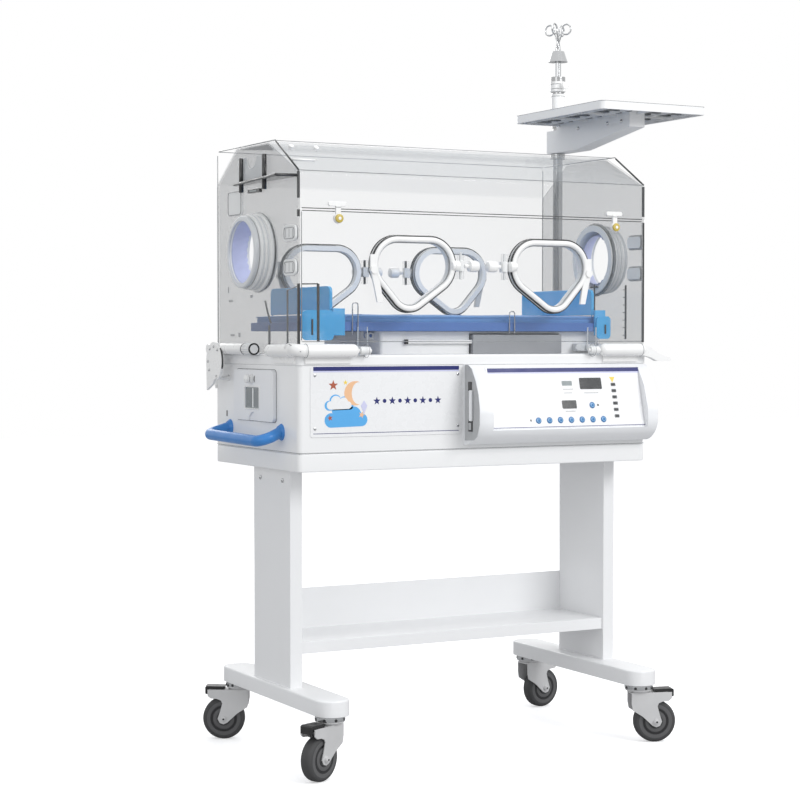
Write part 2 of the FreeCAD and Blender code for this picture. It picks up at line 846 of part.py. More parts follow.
def make_castor(name, corner_x, corner_y):
    angle = f"trail_{name}"
    tag = "".join(word.title() for word in name.split("_"))
    sheet_out = "(fork_inner + fork_sheet)"

    def seat(label, item):
        bind(item, "Placement.Base.x", f"{corner_x} * {CASTOR_X}")
        bind(item, "Placement.Base.y", f"{corner_y} * castor_across")
        item.Placement.Rotation = FreeCAD.Rotation(FreeCAD.Vector(0, 0, 1), SIZES[angle])
        return node(f"castor_{label}_{name}", item)

    cheeks = [prism(f"ForkSide{tag}{index}", "XZ", FORK_SIDE, *span)
              for index, span in enumerate(((f"-{sheet_out}", "-fork_inner"),
                                            ("fork_inner", sheet_out)))]
    bridge = block(f"ForkBridge{tag}", ("-fork_back", "castor_trail"), ("-fork_inner", "fork_inner"),
                   ("fork_top - fork_sheet", "fork_top"))
    axle = rod(f"Axle{tag}", "axle_size", "Y", f"-{sheet_out}", sheet_out,
               ("castor_trail", "wheel_size"))
    heads = [rod(f"AxleHead{tag}{index}", "axle_head", "Y", *span, ("castor_trail", "wheel_size"))
             for index, span in enumerate(((f"-{sheet_out} - 4", f"-{sheet_out}"),
                                           (sheet_out, f"{sheet_out} + 4")))]
    cup = rod(f"Cup{tag}", "cup_size", "Z", "fork_top + cup_cone", "castor_height - castor_gap",
              ("0", "0"))
    waist = rod(f"CupWaist{tag}", "cup_waist", "Z", "fork_top", "fork_top + cup_cone", ("0", "0"),
                tip="cup_size")
    stem = rod(f"Stem{tag}", "stem_size", "Z", "castor_height - castor_gap",
               "castor_height + stem_long", ("0", "0"))
    pins = [rod(f"PedalPin{tag}{index}", "pedal_pin", "Y", *span, ("pedal_at", "fork_top - 5"))
            for index, span in enumerate((("-fork_inner", "-pedal_half + 6"),
                                          ("pedal_half - 6", "fork_inner")))]
    seat("fork", fuse(f"Fork{tag}", *cheeks, bridge, axle, *heads, cup, waist, stem, *pins))

    disc = rod(f"Tyre{tag}", "wheel_size", "Y", "-wheel_wide / 2", "wheel_wide / 2",
               ("castor_trail", "wheel_size"))
    disc = rounded(f"TyreRound{tag}", disc, SIZES["wheel_round"],
                   lambda edge: edge.Curve.TypeId == "Part::GeomCircle")
    grooves = [ring(f"Groove{tag}{index}", "groove_outer", "groove_inner", "Y", *span,
                    ("castor_trail", "wheel_size"))
               for index, span in enumerate((("wheel_wide / 2 - groove_deep", "wheel_wide / 2 + 2"),
                                             ("-wheel_wide / 2 - 2",
                                              "-wheel_wide / 2 + groove_deep")))]
    hub = rod(f"Hub{tag}", "hub_size", "Y", "-hub_wide / 2", "hub_wide / 2",
              ("castor_trail", "wheel_size"))
    bore = rod(f"WheelBore{tag}", "axle_size + turn_slack", "Y", "-hub_wide", "hub_wide",
               ("castor_trail", "wheel_size"))
    wheel = fuse(f"WheelSolid{tag}", cut(f"TyreCut{tag}", disc, *grooves), hub)
    seat("wheel", cut(f"Wheel{tag}", wheel, bore))

    outline = [
        ("pedal_at - 7", "fork_top - 11"),
        ("pedal_at - 7", "fork_top + 1"),
        ("pedal_at - 11", "fork_top + 2"),
        ("pedal_at - 11", "fork_top + 7"),
        ("pedal_reach - 4", "fork_top + 8"),
        ("pedal_reach", "fork_top + 5"),
        ("pedal_reach", "fork_top - 10"),
        ("pedal_reach - 5", "fork_top - 12"),
        ("pedal_reach - 8", "fork_top + 1"),
        ("pedal_at + 10", "fork_top"),
        ("pedal_at + 6", "fork_top - 11"),
    ]
    lever = prism(f"PedalLever{tag}", "XZ", outline, "-pedal_half", "pedal_half")
    holes = rod(f"PedalBore{tag}", "pedal_pin + turn_slack", "Y", "-pedal_half - 1",
                "pedal_half + 1", ("pedal_at", "fork_top - 5"))
    seat("pedal", cut(f"Pedal{tag}", lever, holes))


# Controls

MODULE_RIGHT = f"({END} - module_inset)"
FACE_RISE = "(face_low_drop - face_top_drop)"
FACE_RUN = "(face_low_depth - face_top_depth)"
FACE_LONG = f"sqrt({FACE_RISE} ^ 2 + {FACE_RUN} ^ 2)"
FACE_ANGLE = f"atan({FACE_RUN} / {FACE_RISE})"


def face_point(down, out):
    """Y and Z of a place on the sloping panel: down its slope, then out along its normal."""
    y = f"{FRONT} - face_top_depth - ({down}) * sin({FACE_ANGLE}) - ({out}) * cos({FACE_ANGLE})"
    z = f"{SHELL_TOP} - face_top_drop - ({down}) * cos({FACE_ANGLE}) + ({out}) * sin({FACE_ANGLE})"
    return y, z


def make_control_housing():
    top = f"({SHELL_TOP} - module_top)"
    low = f"({BASE_TOP} + module_bottom)"
    outline = [
        (FRONT, low),
        (FRONT, top),
        (f"{FRONT} - 9", top),
        (f"{FRONT} - 40", f"{SHELL_TOP} - 50"),
        (f"{FRONT} - 58", f"{SHELL_TOP} - 108"),
        (f"{FRONT} - 60", f"{SHELL_TOP} - 152"),
        (f"{FRONT} - 24", low),
    ]
    shell = prism("ModuleBlock", "YZ", outline, "module_left", MODULE_RIGHT)
    ahead = number(FRONT) - SIZES["face_low_depth"] / 2
    shell = soften(shell, "module_round", runs("X", lambda edge: edge.BoundBox.YMax < ahead))
    face = [
        (f"{FRONT} - face_top_depth", f"{SHELL_TOP} + 10"),
        (f"{FRONT} - face_top_depth", f"{SHELL_TOP} - face_top_drop"),
        (f"{FRONT} - face_low_depth", f"{SHELL_TOP} - face_low_drop"),
        (f"{FRONT} - 90", f"{SHELL_TOP} - face_low_drop"),
        (f"{FRONT} - 90", f"{SHELL_TOP} + 10"),
    ]
    recess = prism("ModuleRecess", "YZ", face, "module_left + cheek_left",
                   f"{MODULE_RIGHT} - cheek_right")
    inside = [
        (f"{FRONT} + 1", f"{low} + 5"),
        (f"{FRONT} + 1", f"{top} - 12"),
        (f"{FRONT} - 6", f"{top} - 12"),
        (f"{FRONT} - face_low_depth + 6", f"{SHELL_TOP} - face_low_drop"),
        (f"{FRONT} - 20", f"{low} + 5"),
    ]
    hollow = prism("ModuleHollow", "YZ", inside, "module_left + 6", f"{MODULE_RIGHT} - 6")
    socket_slot = block("ModuleSlot", ("module_left - 1", "module_left + 4"),
                        (f"{FRONT} - 27", f"{FRONT} - 9"),
                        (f"{SHELL_TOP} - 158", f"{SHELL_TOP} - 34"))
    node("control_housing", cut("ControlHousing", shell, recess, hollow, socket_slot))


def make_control_panel():
    corners = [face_point("panel_edge", "0"),
               face_point("panel_edge", "panel_thick"),
               face_point(f"{FACE_LONG} - panel_edge", "panel_thick"),
               face_point(f"{FACE_LONG} - panel_edge", "0")]
    plate = prism("PanelPlate", "YZ", corners, "module_left + cheek_left + panel_edge",
                  f"{MODULE_RIGHT} - cheek_right - panel_edge")
    keys = [(f"key_first + {index} * key_pitch", "key_row") for index in range(7)]
    keys.append(("key_single", "key_single_row"))
    pads = []
    for index, (along, down) in enumerate(keys):
        key = rod(f"Key{index}", "key_size", "Y", "0", "key_rise + panel_thick", ("0", "0"))
        y, z = face_point(down, "key_rise + panel_thick")
        bind(key, "Placement.Base.x", along)
        bind(key, "Placement.Base.y", y)
        bind(key, "Placement.Base.z", z)
        lean = math.degrees(math.atan2(number(FACE_RUN), number(FACE_RISE)))
        key.Placement.Rotation = FreeCAD.Rotation(FreeCAD.Vector(1, 0, 0), -90 - lean)
        pads.append(key)
    node("control_panel", fuse("ControlPanel", plate, *pads))


def make_service_panel():
    face = f"({REAR} + service_thick)"
    low = f"({BASE_TOP} + service_up)"
    plate = block("ServicePlate", ("-service_half", "service_half"), (REAR, face),
                  (low, f"{low} + service_tall"))
    plate = rounded("ServiceRound", plate, SIZES["service_round"], runs("Y"))
    centre_z = f"{low} + service_tall / 2"
    cover = rod("FilterCover", "filter_size", "Y", face, f"{face} + filter_thick", ("-50", centre_z),
                tip="filter_size - 4")
    grip = block("FilterGrip", ("-54", "-46"), (f"{REAR} + 14", f"{REAR} + 24"),
                 (f"{centre_z} - 30", f"{centre_z} + 30"))
    nut = rod("InletNut", "10", "Y", f"{REAR} + 3", f"{REAR} + 13", ("60", centre_z))
    inlet = rod("GasInlet", "4.5", "Y", f"{REAR} + 13", f"{REAR} + 37", ("60", centre_z))
    socket = block("PowerInlet", ("95", "135"), (f"{REAR} + 3", f"{REAR} + 12"),
                   (f"{centre_z} - 15", f"{centre_z} + 15"))
    well = block("PowerWell", ("101", "129"), (f"{REAR} + 5", f"{REAR} + 13"),
                 (f"{centre_z} - 9", f"{centre_z} + 9"))
    solid = fuse("ServiceSolid", plate, cover, grip, nut, inlet, socket)
    node("service_panel", cut("ServicePanel", solid, well))


# Water drawer, seen on the left end of the cabinet

def make_drawer():
    outside = f"(-{END} - face_gap)"
    plate = block("DrawerPlate", (f"{outside} - drawer_face", outside),
                  ("drawer_front", "drawer_rear"), (DRAWER_LOW, DRAWER_TOP))
    plate = rounded("DrawerPlateRound", plate, SIZES["drawer_round"], runs("X"))
    window = block("DrawerWindow", (f"{outside} - drawer_face - 1", f"{outside} - drawer_face + 3"),
                   ("-4", "74"), (f"{DRAWER_LOW} + 28", f"{DRAWER_LOW} + 76"))
    scoop = rod("DrawerScoop", "26", "X", f"{outside} - drawer_face - 1",
                f"{outside} - drawer_face + 4", ("30", f"{DRAWER_LOW} - 6"))
    knob_hole = rod("KnobHole", "knob_stem + turn_slack", "X", f"{outside} - drawer_face - 1",
                    f"{outside} + drawer_wall + 1", ("36", f"{DRAWER_TOP} - knob_drop"))
    sides = ("drawer_front + drawer_rim", "drawer_rear - drawer_rim")
    low = f"({DRAWER_LOW} + drawer_rim)"
    high = f"({DRAWER_TOP} - drawer_rim)"
    box = block("DrawerBox", (outside, f"{outside} + drawer_long"), sides, (low, high))
    inside = block("DrawerInside", (f"{outside} + drawer_wall - 1",
                                    f"{outside} + drawer_long - drawer_wall"),
                   (f"{sides[0]} + drawer_wall", f"{sides[1]} - drawer_wall"),
                   (f"{low} + drawer_wall", f"{high} + 1"))
    bin_solid = cut("DrawerBin", box, inside)
    node("water_drawer", cut("WaterDrawer", fuse("DrawerSolid", plate, bin_solid),
                             window, scoop, knob_hole))
    tank_low = f"({low} + drawer_wall + soft_gap)"
    tank = block("TankOuter", (f"{outside} + drawer_wall + 1", f"{outside} + drawer_long - 6"),
                 (f"{sides[0]} + drawer_wall + 1", f"{sides[1]} - drawer_wall - 1"),
                 (tank_low, f"{tank_low} + tank_height"))
    water = block("TankInside", (f"{outside} + drawer_wall + 1 + tank_wall",
                                 f"{outside} + drawer_long - 6 - tank_wall"),
                  (f"{sides[0]} + drawer_wall + 1 + tank_wall",
                   f"{sides[1]} - drawer_wall - 1 - tank_wall"),
                  (f"{tank_low} + tank_wall", f"{tank_low} + tank_height - tank_wall"))
    filler = rod("TankFiller", "18", "Z", f"{tank_low} + tank_height - tank_wall - 1",
                 f"{tank_low} + tank_height + 1", (f"{outside} + drawer_long / 2", "cabinet_shift"))
    node("water_tank", cut("WaterTank", tank, water, filler))
    height = f"({DRAWER_TOP} - knob_drop)"
    face = f"({outside} - drawer_face)"
    dial = rod("KnobDial", "knob_size", "X", f"{face} - soft_gap - 7", f"{face} - soft_gap",
               ("36", height))
    wing = block("KnobWing", (f"{face} - knob_reach", f"{face} - soft_gap - 6"), ("33", "39"),
                 (f"{height} - knob_size + 1", f"{height} + knob_size - 1"))
    stem = rod("KnobStem", "knob_stem", "X", f"{face} - 2", f"{outside} + 2.5", ("36", height))
    cam = block("KnobCam", (f"{outside} + 2.5", f"{outside} + 5.5"), ("30", "42"),
                (f"{height} - 4", f"{height} + 4"))
    node("drawer_knob", fuse("DrawerKnob", dial, wing, stem, cam))


# Air system under the deck

def make_air_system():
    floor = f"({BASE_TOP} + cabinet_wall)"
    at = ("fan_along", "cabinet_shift")
    motor_top = f"({floor} + motor_height)"
    body = rod("MotorBody", "motor_size", "Z", floor, motor_top, at)
    base = rod("MotorFlange", "motor_size + 12", "Z", floor, f"{floor} + 4", at)
    well = rod("MotorWell", "fan_shaft + turn_slack", "Z", f"{floor} + 12", f"{motor_top} + 1", at)
    node("fan_motor", cut("FanMotor", fuse("MotorSolid", body, base), well))
    low = f"({motor_top} + 14)"
    parts = [rod("FanShaft", "fan_shaft", "Z", f"{floor} + 14", f"{low} + 6", at),
             rod("FanHub", "fan_hub", "Z", low, f"{low} + fan_height", at),
             rod("FanDisc", "fan_size", "Z", low, f"{low} + fan_disc", at)]
    for index in range(10):
        blade = DOC.addObject("Part::Box", f"FanBlade{index}")
        bind(blade, "Length", "fan_size - fan_hub")
        bind(blade, "Width", "fan_blade")
        bind(blade, "Height", "fan_height")
        turn = 36 * index
        blade.Placement.Rotation = FreeCAD.Rotation(FreeCAD.Vector(0, 0, 1), turn)
        bind(blade, "Placement.Base.x", f"fan_along + (fan_hub - 1) * cos({turn})")
        bind(blade, "Placement.Base.y", f"cabinet_shift + (fan_hub - 1) * sin({turn})")
        bind(blade, "Placement.Base.z", low)
        parts.append(blade)
    node("fan_impeller", fuse("FanImpeller", *parts))
    coils = []
    for index in range(3):
        coil = DOC.addObject("Part::Torus", f"HeaterCoil{index}")
        bind(coil, "Radius1", "heater_size")
        bind(coil, "Radius2", "heater_tube")
        bind(coil, "Placement.Base.x", "fan_along")
        bind(coil, "Placement.Base.y", "cabinet_shift")
        bind(coil, "Placement.Base.z", f"{low} + {index} * 16")
        coils.append(coil)
    posts = [rod(f"HeaterPost{index}", "4", "Z", floor, f"{low} + 38",
                 (f"fan_along + heater_size * cos({120 * index})",
                  f"cabinet_shift + heater_size * sin({120 * index})"))
             for index in range(3)]
    node("air_heater", fuse("AirHeater", *coils, *posts))


# Bed

def make_bed():
    x = ("platform_left", "platform_right")
    y = (PLATFORM_FRONT, PLATFORM_REAR)
    top = f"({DECK_TOP} + platform_tall)"
    outer = block("PlatformOuter", x, y, (DECK_TOP, top))
    outer = rounded("PlatformRound", outer, 8, runs("Z"))
    inner = block("PlatformInner", ("platform_left + platform_wall",
                                    "platform_right - platform_wall"),
                  (f"{PLATFORM_FRONT} + platform_wall", f"{PLATFORM_REAR} - platform_wall"),
                  (f"{DECK_TOP} - 1", f"{top} - platform_wall"))
    mouth = block("CassetteMouth", ("cassette_left - cassette_slack",
                                    "cassette_right + cassette_slack"),
                  (f"{PLATFORM_FRONT} - 1", f"{PLATFORM_FRONT} + 2 * platform_wall"),
                  (f"{DECK_TOP} - 1", f"{DECK_TOP} + cassette_tall + cassette_slack"))
    pin_x = "(platform_left - tilt_inset)"
    pin_z = f"({top} - tilt_drop)"
    ears = []
    for index, (low, high) in enumerate((("-80", "-66"), ("140", "154"))):
        web = block(f"EarWeb{index}", (pin_x, "platform_left + 1"), (low, high),
                    (f"{pin_z} - 8", f"{pin_z} + 6"))
        nose = rod(f"EarNose{index}", "8", "Y", low, high, (pin_x, pin_z))
        ears.extend((web, nose))
    bores = rod("EarBores", "tilt_pin + turn_slack", "Y", "-90", "160", (pin_x, pin_z))
    slot = [block(f"PlatformSlot{index}", ("platform_right - 1 - platform_wall",
                                           "platform_right + 1"), span,
                  (f"{DECK_TOP} + 10", f"{top} - 12"))
            for index, span in enumerate((("-60", "20"), ("50", "130")))]
    box = cut("PlatformBox", outer, inner, mouth, *slot)
    node("bed_platform", cut("BedPlatform", fuse("PlatformSolid", box, *ears), bores))

    cassette_front = f"({FRONT} + cassette_ahead)"
    cassette_rear = f"({REAR} - cassette_behind)"
    case = block("CassetteOuter", ("cassette_left", "cassette_right"),
                 (cassette_front, cassette_rear),
                 (f"{DECK_TOP} + soft_gap", f"{DECK_TOP} + cassette_tall"))
    room = block("CassetteRoom", ("cassette_left + cassette_wall",
                                  "cassette_right - cassette_wall"),
                 (f"{cassette_front} + cassette_wall", f"{cassette_rear} - cassette_wall"),
                 (f"{DECK_TOP} + soft_gap + cassette_wall", f"{DECK_TOP} + cassette_tall + 1"))
    node("cassette_drawer", cut("CassetteDrawer", case, room))

    tray = block("BedTrayOuter", (f"-{BED_HALF}", BED_HALF), (BED_FRONT, BED_REAR),
                 (BED_LOW, BED_TOP))
    tray = rounded("BedTrayRound", tray, 12, runs("Z"))
    well = block("BedTrayWell", (f"-{BED_HALF} + bed_rim", f"{BED_HALF} - bed_rim"),
                 (f"{BED_FRONT} + bed_rim", f"{BED_REAR} - bed_rim"),
                 (f"{BED_LOW} + bed_floor", f"{BED_TOP} + 1"))
    lugs = []
    for index, (low, high) in enumerate((("-65.5", "-54"), ("128", "139.5"))):
        web = block(f"LugWeb{index}", (f"{pin_x} - 6", f"{pin_x} + 6"), (low, high),
                    (pin_z, f"{BED_LOW} + 1"))
        nose = rod(f"LugNose{index}", "6", "Y", low, high, (pin_x, pin_z))
        lugs.extend((web, nose))
    pins = [rod(f"TiltPin{index}", "tilt_pin", "Y", low, high, (pin_x, pin_z))
            for index, (low, high) in enumerate((("-80", "-60"), ("130", "154")))]
    node("bed_tray", fuse("BedTray", cut("BedTrayDish", tray, well), *lugs, *pins))

    pad_inset = "(bed_rim + soft_gap)"
    pad_block = block("MattressBlock", (f"-{BED_HALF} + {pad_inset}", f"{BED_HALF} - {pad_inset}"),
                      (f"{BED_FRONT} + {pad_inset}", f"{BED_REAR} - {pad_inset}"),
                      (MATTRESS_LOW, MATTRESS_TOP))
    pad_round = rounded("MattressRound", pad_block, 12, runs("Z"))
    node("mattress", rounded("Mattress", pad_round, SIZES["mattress_round"],
                             level(number(MATTRESS_TOP))))

    guards = []
    for index, way in enumerate((-1, 1)):
        centre = f"{way} * ({BED_HALF} - guard_inset)"
        low = f"({MATTRESS_TOP} + soft_gap)"
        plate = block(f"GuardPlate{index}", (f"{centre} - guard_thick / 2",
                                             f"{centre} + guard_thick / 2"),
                      (f"{BED_FRONT} + 4", f"{BED_REAR} - 24"), (low, f"{low} + guard_tall"))
        top = number(f"{low} + guard_tall")
        plate = rounded(f"GuardRound{index}", plate, SIZES["guard_round"],
                        runs("X", lambda edge, top=top: edge.BoundBox.ZMin > top - 1))
        tab = block(f"GuardTab{index}", (centre, f"{centre} + guard_tab"),
                    (f"{BED_FRONT} - soft_gap - guard_tab_thick", f"{BED_FRONT} - soft_gap"),
                    (f"{BED_LOW} - 10", f"{low} + 12"))
        bridge = block(f"GuardBridge{index}", (f"{centre}", f"{centre} + guard_thick / 2"),
                       (f"{BED_FRONT} - soft_gap - guard_tab_thick", f"{BED_FRONT} + 6"),
                       (low, f"{low} + 12"))
        guards.append(fuse(f"Guard{index}", plate, tab, bridge))
    node("bed_end_panels", group("BedEndPanels", *guards))


# Hood

def hood_block(name):
    outline = [
        (FRONT, HOOD_LOW),
        (FRONT, f"{DECK_TOP} + hood_front_tall"),
        (f"{FRONT} + hood_front_run", f"{DECK_TOP} + hood_tall"),
        (f"{HOOD_BACK} - hood_rear_run", f"{DECK_TOP} + hood_tall"),
        (HOOD_BACK, f"{DECK_TOP} + hood_rear_tall"),
        (HOOD_BACK, HOOD_LOW),
    ]
    solid = prism(name, "YZ", outline, f"-{HOOD_END}", HOOD_END)
    floor = number(HOOD_LOW) + TOUCH
    return soften(solid, "hood_round", runs("X", lambda edge: edge.BoundBox.ZMin > floor))


def make_hood():
    skin_body = hood_block("HoodSkin")
    DOC.recompute()
    last = skin_body.Tip
    floor = number(HOOD_LOW) + TOUCH
    openings = []
    for index, face in enumerate(last.Shape.Faces, start=1):
        box = face.BoundBox
        if box.XLength < TOUCH or box.ZMax < floor:
            openings.append(f"Face{index}")
    skin = skin_body.newObject("PartDesign::Thickness", "HoodSkinWall")
    skin.Base = (last, openings)
    skin.Reversed = True
    bind(skin, "Value", "hood_skin")
    inside = cut("HoodInside", hood_block("HoodBlock"), skin_body)

    doorway = block("Doorway", (f"-{END} - 1", f"{END} + 1"), (f"{FRONT} - 1", f"{FRONT} + 30"),
                    ("base_bottom", f"{DECK_TOP} + hood_band"))
    rear_holes = [egg(f"RearPortHole{index}", f"{way} * port_along", PORT_Z, way, "- port_lap",
                      f"{HOOD_BACK} - hood_skin - 5", f"{HOOD_BACK} + 5")
                  for index, way in enumerate((-1, 1))]
    node("hood_shell", cut("HoodShell", skin_body, doorway, *rear_holes))

    panels = []
    for index, way in enumerate((-1, 1)):
        near, far = (f"-{HOOD_END}", f"-{HOOD_END} + hood_skin")
        if way > 0:
            near, far = (f"{HOOD_END} - hood_skin", HOOD_END)
        slab = block(f"EndSlice{index}", (near, far), (f"{FRONT} - 10", f"{REAR} + 10"),
                     ("base_bottom", f"{DECK_TOP} + hood_tall + 10"))
        panel = common(f"EndPanelBlank{index}", inside, slab)
        bore = rod(f"IrisBore{index}", "iris_bore", "X", f"{near} - 5", f"{far} + 5",
                   (IRIS_Y, IRIS_Z))
        notches = [rounded(f"Notch{index}{row}",
                           block(f"NotchBlock{index}{row}", (f"{near} - 5", f"{far} + 5"),
                                 (f"{GROMMET_FRONT} + grommet_lap", f"{GROMMET_REAR} - grommet_lap"),
                                 (f"{DECK_TOP} + {height} - grommet_tall / 2 + grommet_lap",
                                  f"{DECK_TOP} + {height} + grommet_tall / 2 - grommet_lap")),
                           8, runs("X"))
                   for row, height in enumerate(("grommet_upper", "grommet_lower"))]
        panels.append(cut(f"EndPanel{index}", panel, bore, *notches))
    node("end_panels", group("EndPanels", *panels))


def make_grommets():
    pieces = []
    lap = "(grommet_lap + grommet_slack)"
    for index, way in enumerate((-1, 1)):
        for row, height in enumerate(("grommet_upper", "grommet_lower")):
            middle = f"({DECK_TOP} + {height})"
            spans = []
            for low, high in ((f"{HOOD_END}", f"{HOOD_END} + grommet_thick"),
                              (f"{HOOD_END} - hood_skin", HOOD_END)):
                spans.append((low, high) if way > 0 else (f"-({high})", f"-({low})"))
            flange = block(f"GrommetFlange{index}{row}", spans[0], (GROMMET_FRONT, GROMMET_REAR),
                           (f"{middle} - grommet_tall / 2", f"{middle} + grommet_tall / 2"))
            flange = rounded(f"GrommetRound{index}{row}", flange, SIZES["grommet_round"], runs("X"))
            plug = block(f"GrommetPlug{index}{row}", spans[1],
                         (f"{GROMMET_FRONT} + {lap}", f"{GROMMET_REAR} - {lap}"),
                         (f"{middle} - grommet_tall / 2 + {lap}",
                          f"{middle} + grommet_tall / 2 - {lap}"))
            plug = rounded(f"GrommetPlugRound{index}{row}", plug, SIZES["grommet_plug_round"],
                           runs("X"))
            pieces.append(fuse(f"Grommet{index}{row}", flange, plug))
    hatch_rear = f"({REAR} - hatch_inset)"
    hatch_low = f"({DECK_TOP} + hatch_up)"
    cover = block("SideHatch", (f"-{HOOD_END} - hatch_thick", f"-{HOOD_END}"),
                  (f"{hatch_rear} - hatch_wide", hatch_rear), (hatch_low, f"{hatch_low} + hatch_tall"))
    pieces.append(rounded("SideHatchRound", cover, SIZES["hatch_round"], runs("X")))
    node("tube_grommets", group("TubeGrommets", *pieces))


def make_iris_ports():
    housings = []
    at = (IRIS_Y, IRIS_Z)

    def span(way, low, high):
        """Distances out from the end panel's outer face, on either end."""
        near, far = f"{HOOD_END} + ({low})", f"{HOOD_END} + ({high})"
        return (near, far) if way > 0 else (f"-({far})", f"-({near})")

    for way, side in ((-1, "left"), (1, "right")):
        tag = side.title()
        tube_end = "iris_flange_thick + iris_long"
        parts = [
            rod(f"IrisFlange{tag}", "iris_flange", "X", *span(way, "0", "iris_flange_thick"), at),
            rod(f"IrisTube{tag}", "iris_tube", "X", *span(way, "iris_flange_thick", tube_end), at),
            rod(f"IrisSpigot{tag}", "iris_spigot", "X",
                *span(way, tube_end, f"{tube_end} + iris_spigot_long"), at),
            rod(f"IrisSleeve{tag}", "iris_bore", "X", *span(way, "-hood_skin", "0"), at),
            rod(f"IrisNut{tag}", "iris_tube + 2", "X", *span(way, "-hood_skin - 4", "-hood_skin"), at),
        ]
        bore = rod(f"IrisThrough{tag}", "iris_inner", "X", *span(way, "-30", "80"), at)
        housings.append(cut(f"IrisHousing{tag}", fuse(f"IrisSolid{tag}", *parts), bore))
        start = f"{tube_end} + soft_gap"
        hoop = rod(f"IrisHoop{tag}", "iris_ring_out", "X",
                   *span(way, start, f"{start} + iris_ring_long"), at)
        hoop = rounded(f"IrisHoopRound{tag}", hoop, 3,
                       lambda edge: edge.Curve.TypeId == "Part::GeomCircle")
        seat = rod(f"IrisSeat{tag}", "iris_spigot + turn_slack", "X",
                   *span(way, f"{start} - 1", f"{tube_end} + iris_spigot_long + soft_gap"), at)
        mouth = rod(f"IrisMouth{tag}", "iris_inner", "X", *span(way, "20", "90"), at)
        node(f"iris_ring_{side}", cut(f"IrisRing{tag}", hoop, seat, mouth))
    return housings


def out_span(face, way, low, high):
    """A Y range measured outwards from a front (-1) or rear (+1) wall."""
    if way > 0:
        return f"{face} + ({low})", f"{face} + ({high})"
    return f"{face} - ({high})", f"{face} - ({low})"


def make_port_frame(tag, face, way, side):
    """The white ring round an arm port, with the fixed knuckle and pin of its hinge."""
    centre = f"{side} * port_along"
    front = out_span(face, way, "0", "port_flange")
    through = out_span(face, way, "-hood_skin", "0")
    back = out_span(face, way, "-hood_skin - port_back", "-hood_skin")
    full = out_span(face, way, "-hood_skin - port_back - 1", "port_flange + 1")
    body = fuse(f"PortRing{tag}",
                egg(f"PortFlange{tag}", centre, PORT_Z, side, "- soft_gap", *front),
                egg(f"PortSleeve{tag}", centre, PORT_Z, side, "- port_lap", *through),
                egg(f"PortBack{tag}", centre, PORT_Z, side, "- port_back", *back))
    opening = egg(f"PortOpening{tag}", centre, PORT_Z, side, "- port_ring", *full)
    hinge_x = f"{side} * (port_along - port_hinge_out)"
    hinge_y = out_span(face, way, "port_flange + port_gap + port_plate / 2", "0")[0 if way > 0 else 1]
    hinge_z = f"({PORT_Z} + port_hinge_up)"
    half = "(port_knuckle_tall / 2)"
    knuckle = rod(f"PortKnuckle{tag}", "port_knuckle", "Z", f"{hinge_z} - {half}",
                  f"{hinge_z} + {half}", (hinge_x, hinge_y))
    foot = block(f"PortKnuckleFoot{tag}", (f"{hinge_x} - port_knuckle", f"{hinge_x} + port_knuckle"),
                 out_span(face, way, "0", "port_flange + port_gap + port_plate / 2"),
                 (f"{hinge_z} - {half}", f"{hinge_z} + {half}"))
    pin = rod(f"PortPin{tag}", "port_pin", "Z", f"{hinge_z} - {half} - 18", f"{hinge_z} + {half} + 18",
              (hinge_x, hinge_y))
    ring_solid = cut(f"PortFrame{tag}", body, opening)
    hinge = fuse(f"PortHinge{tag}", knuckle, foot, pin)
    return [ring_solid, hinge], (hinge_x, hinge_y, hinge_z, half)


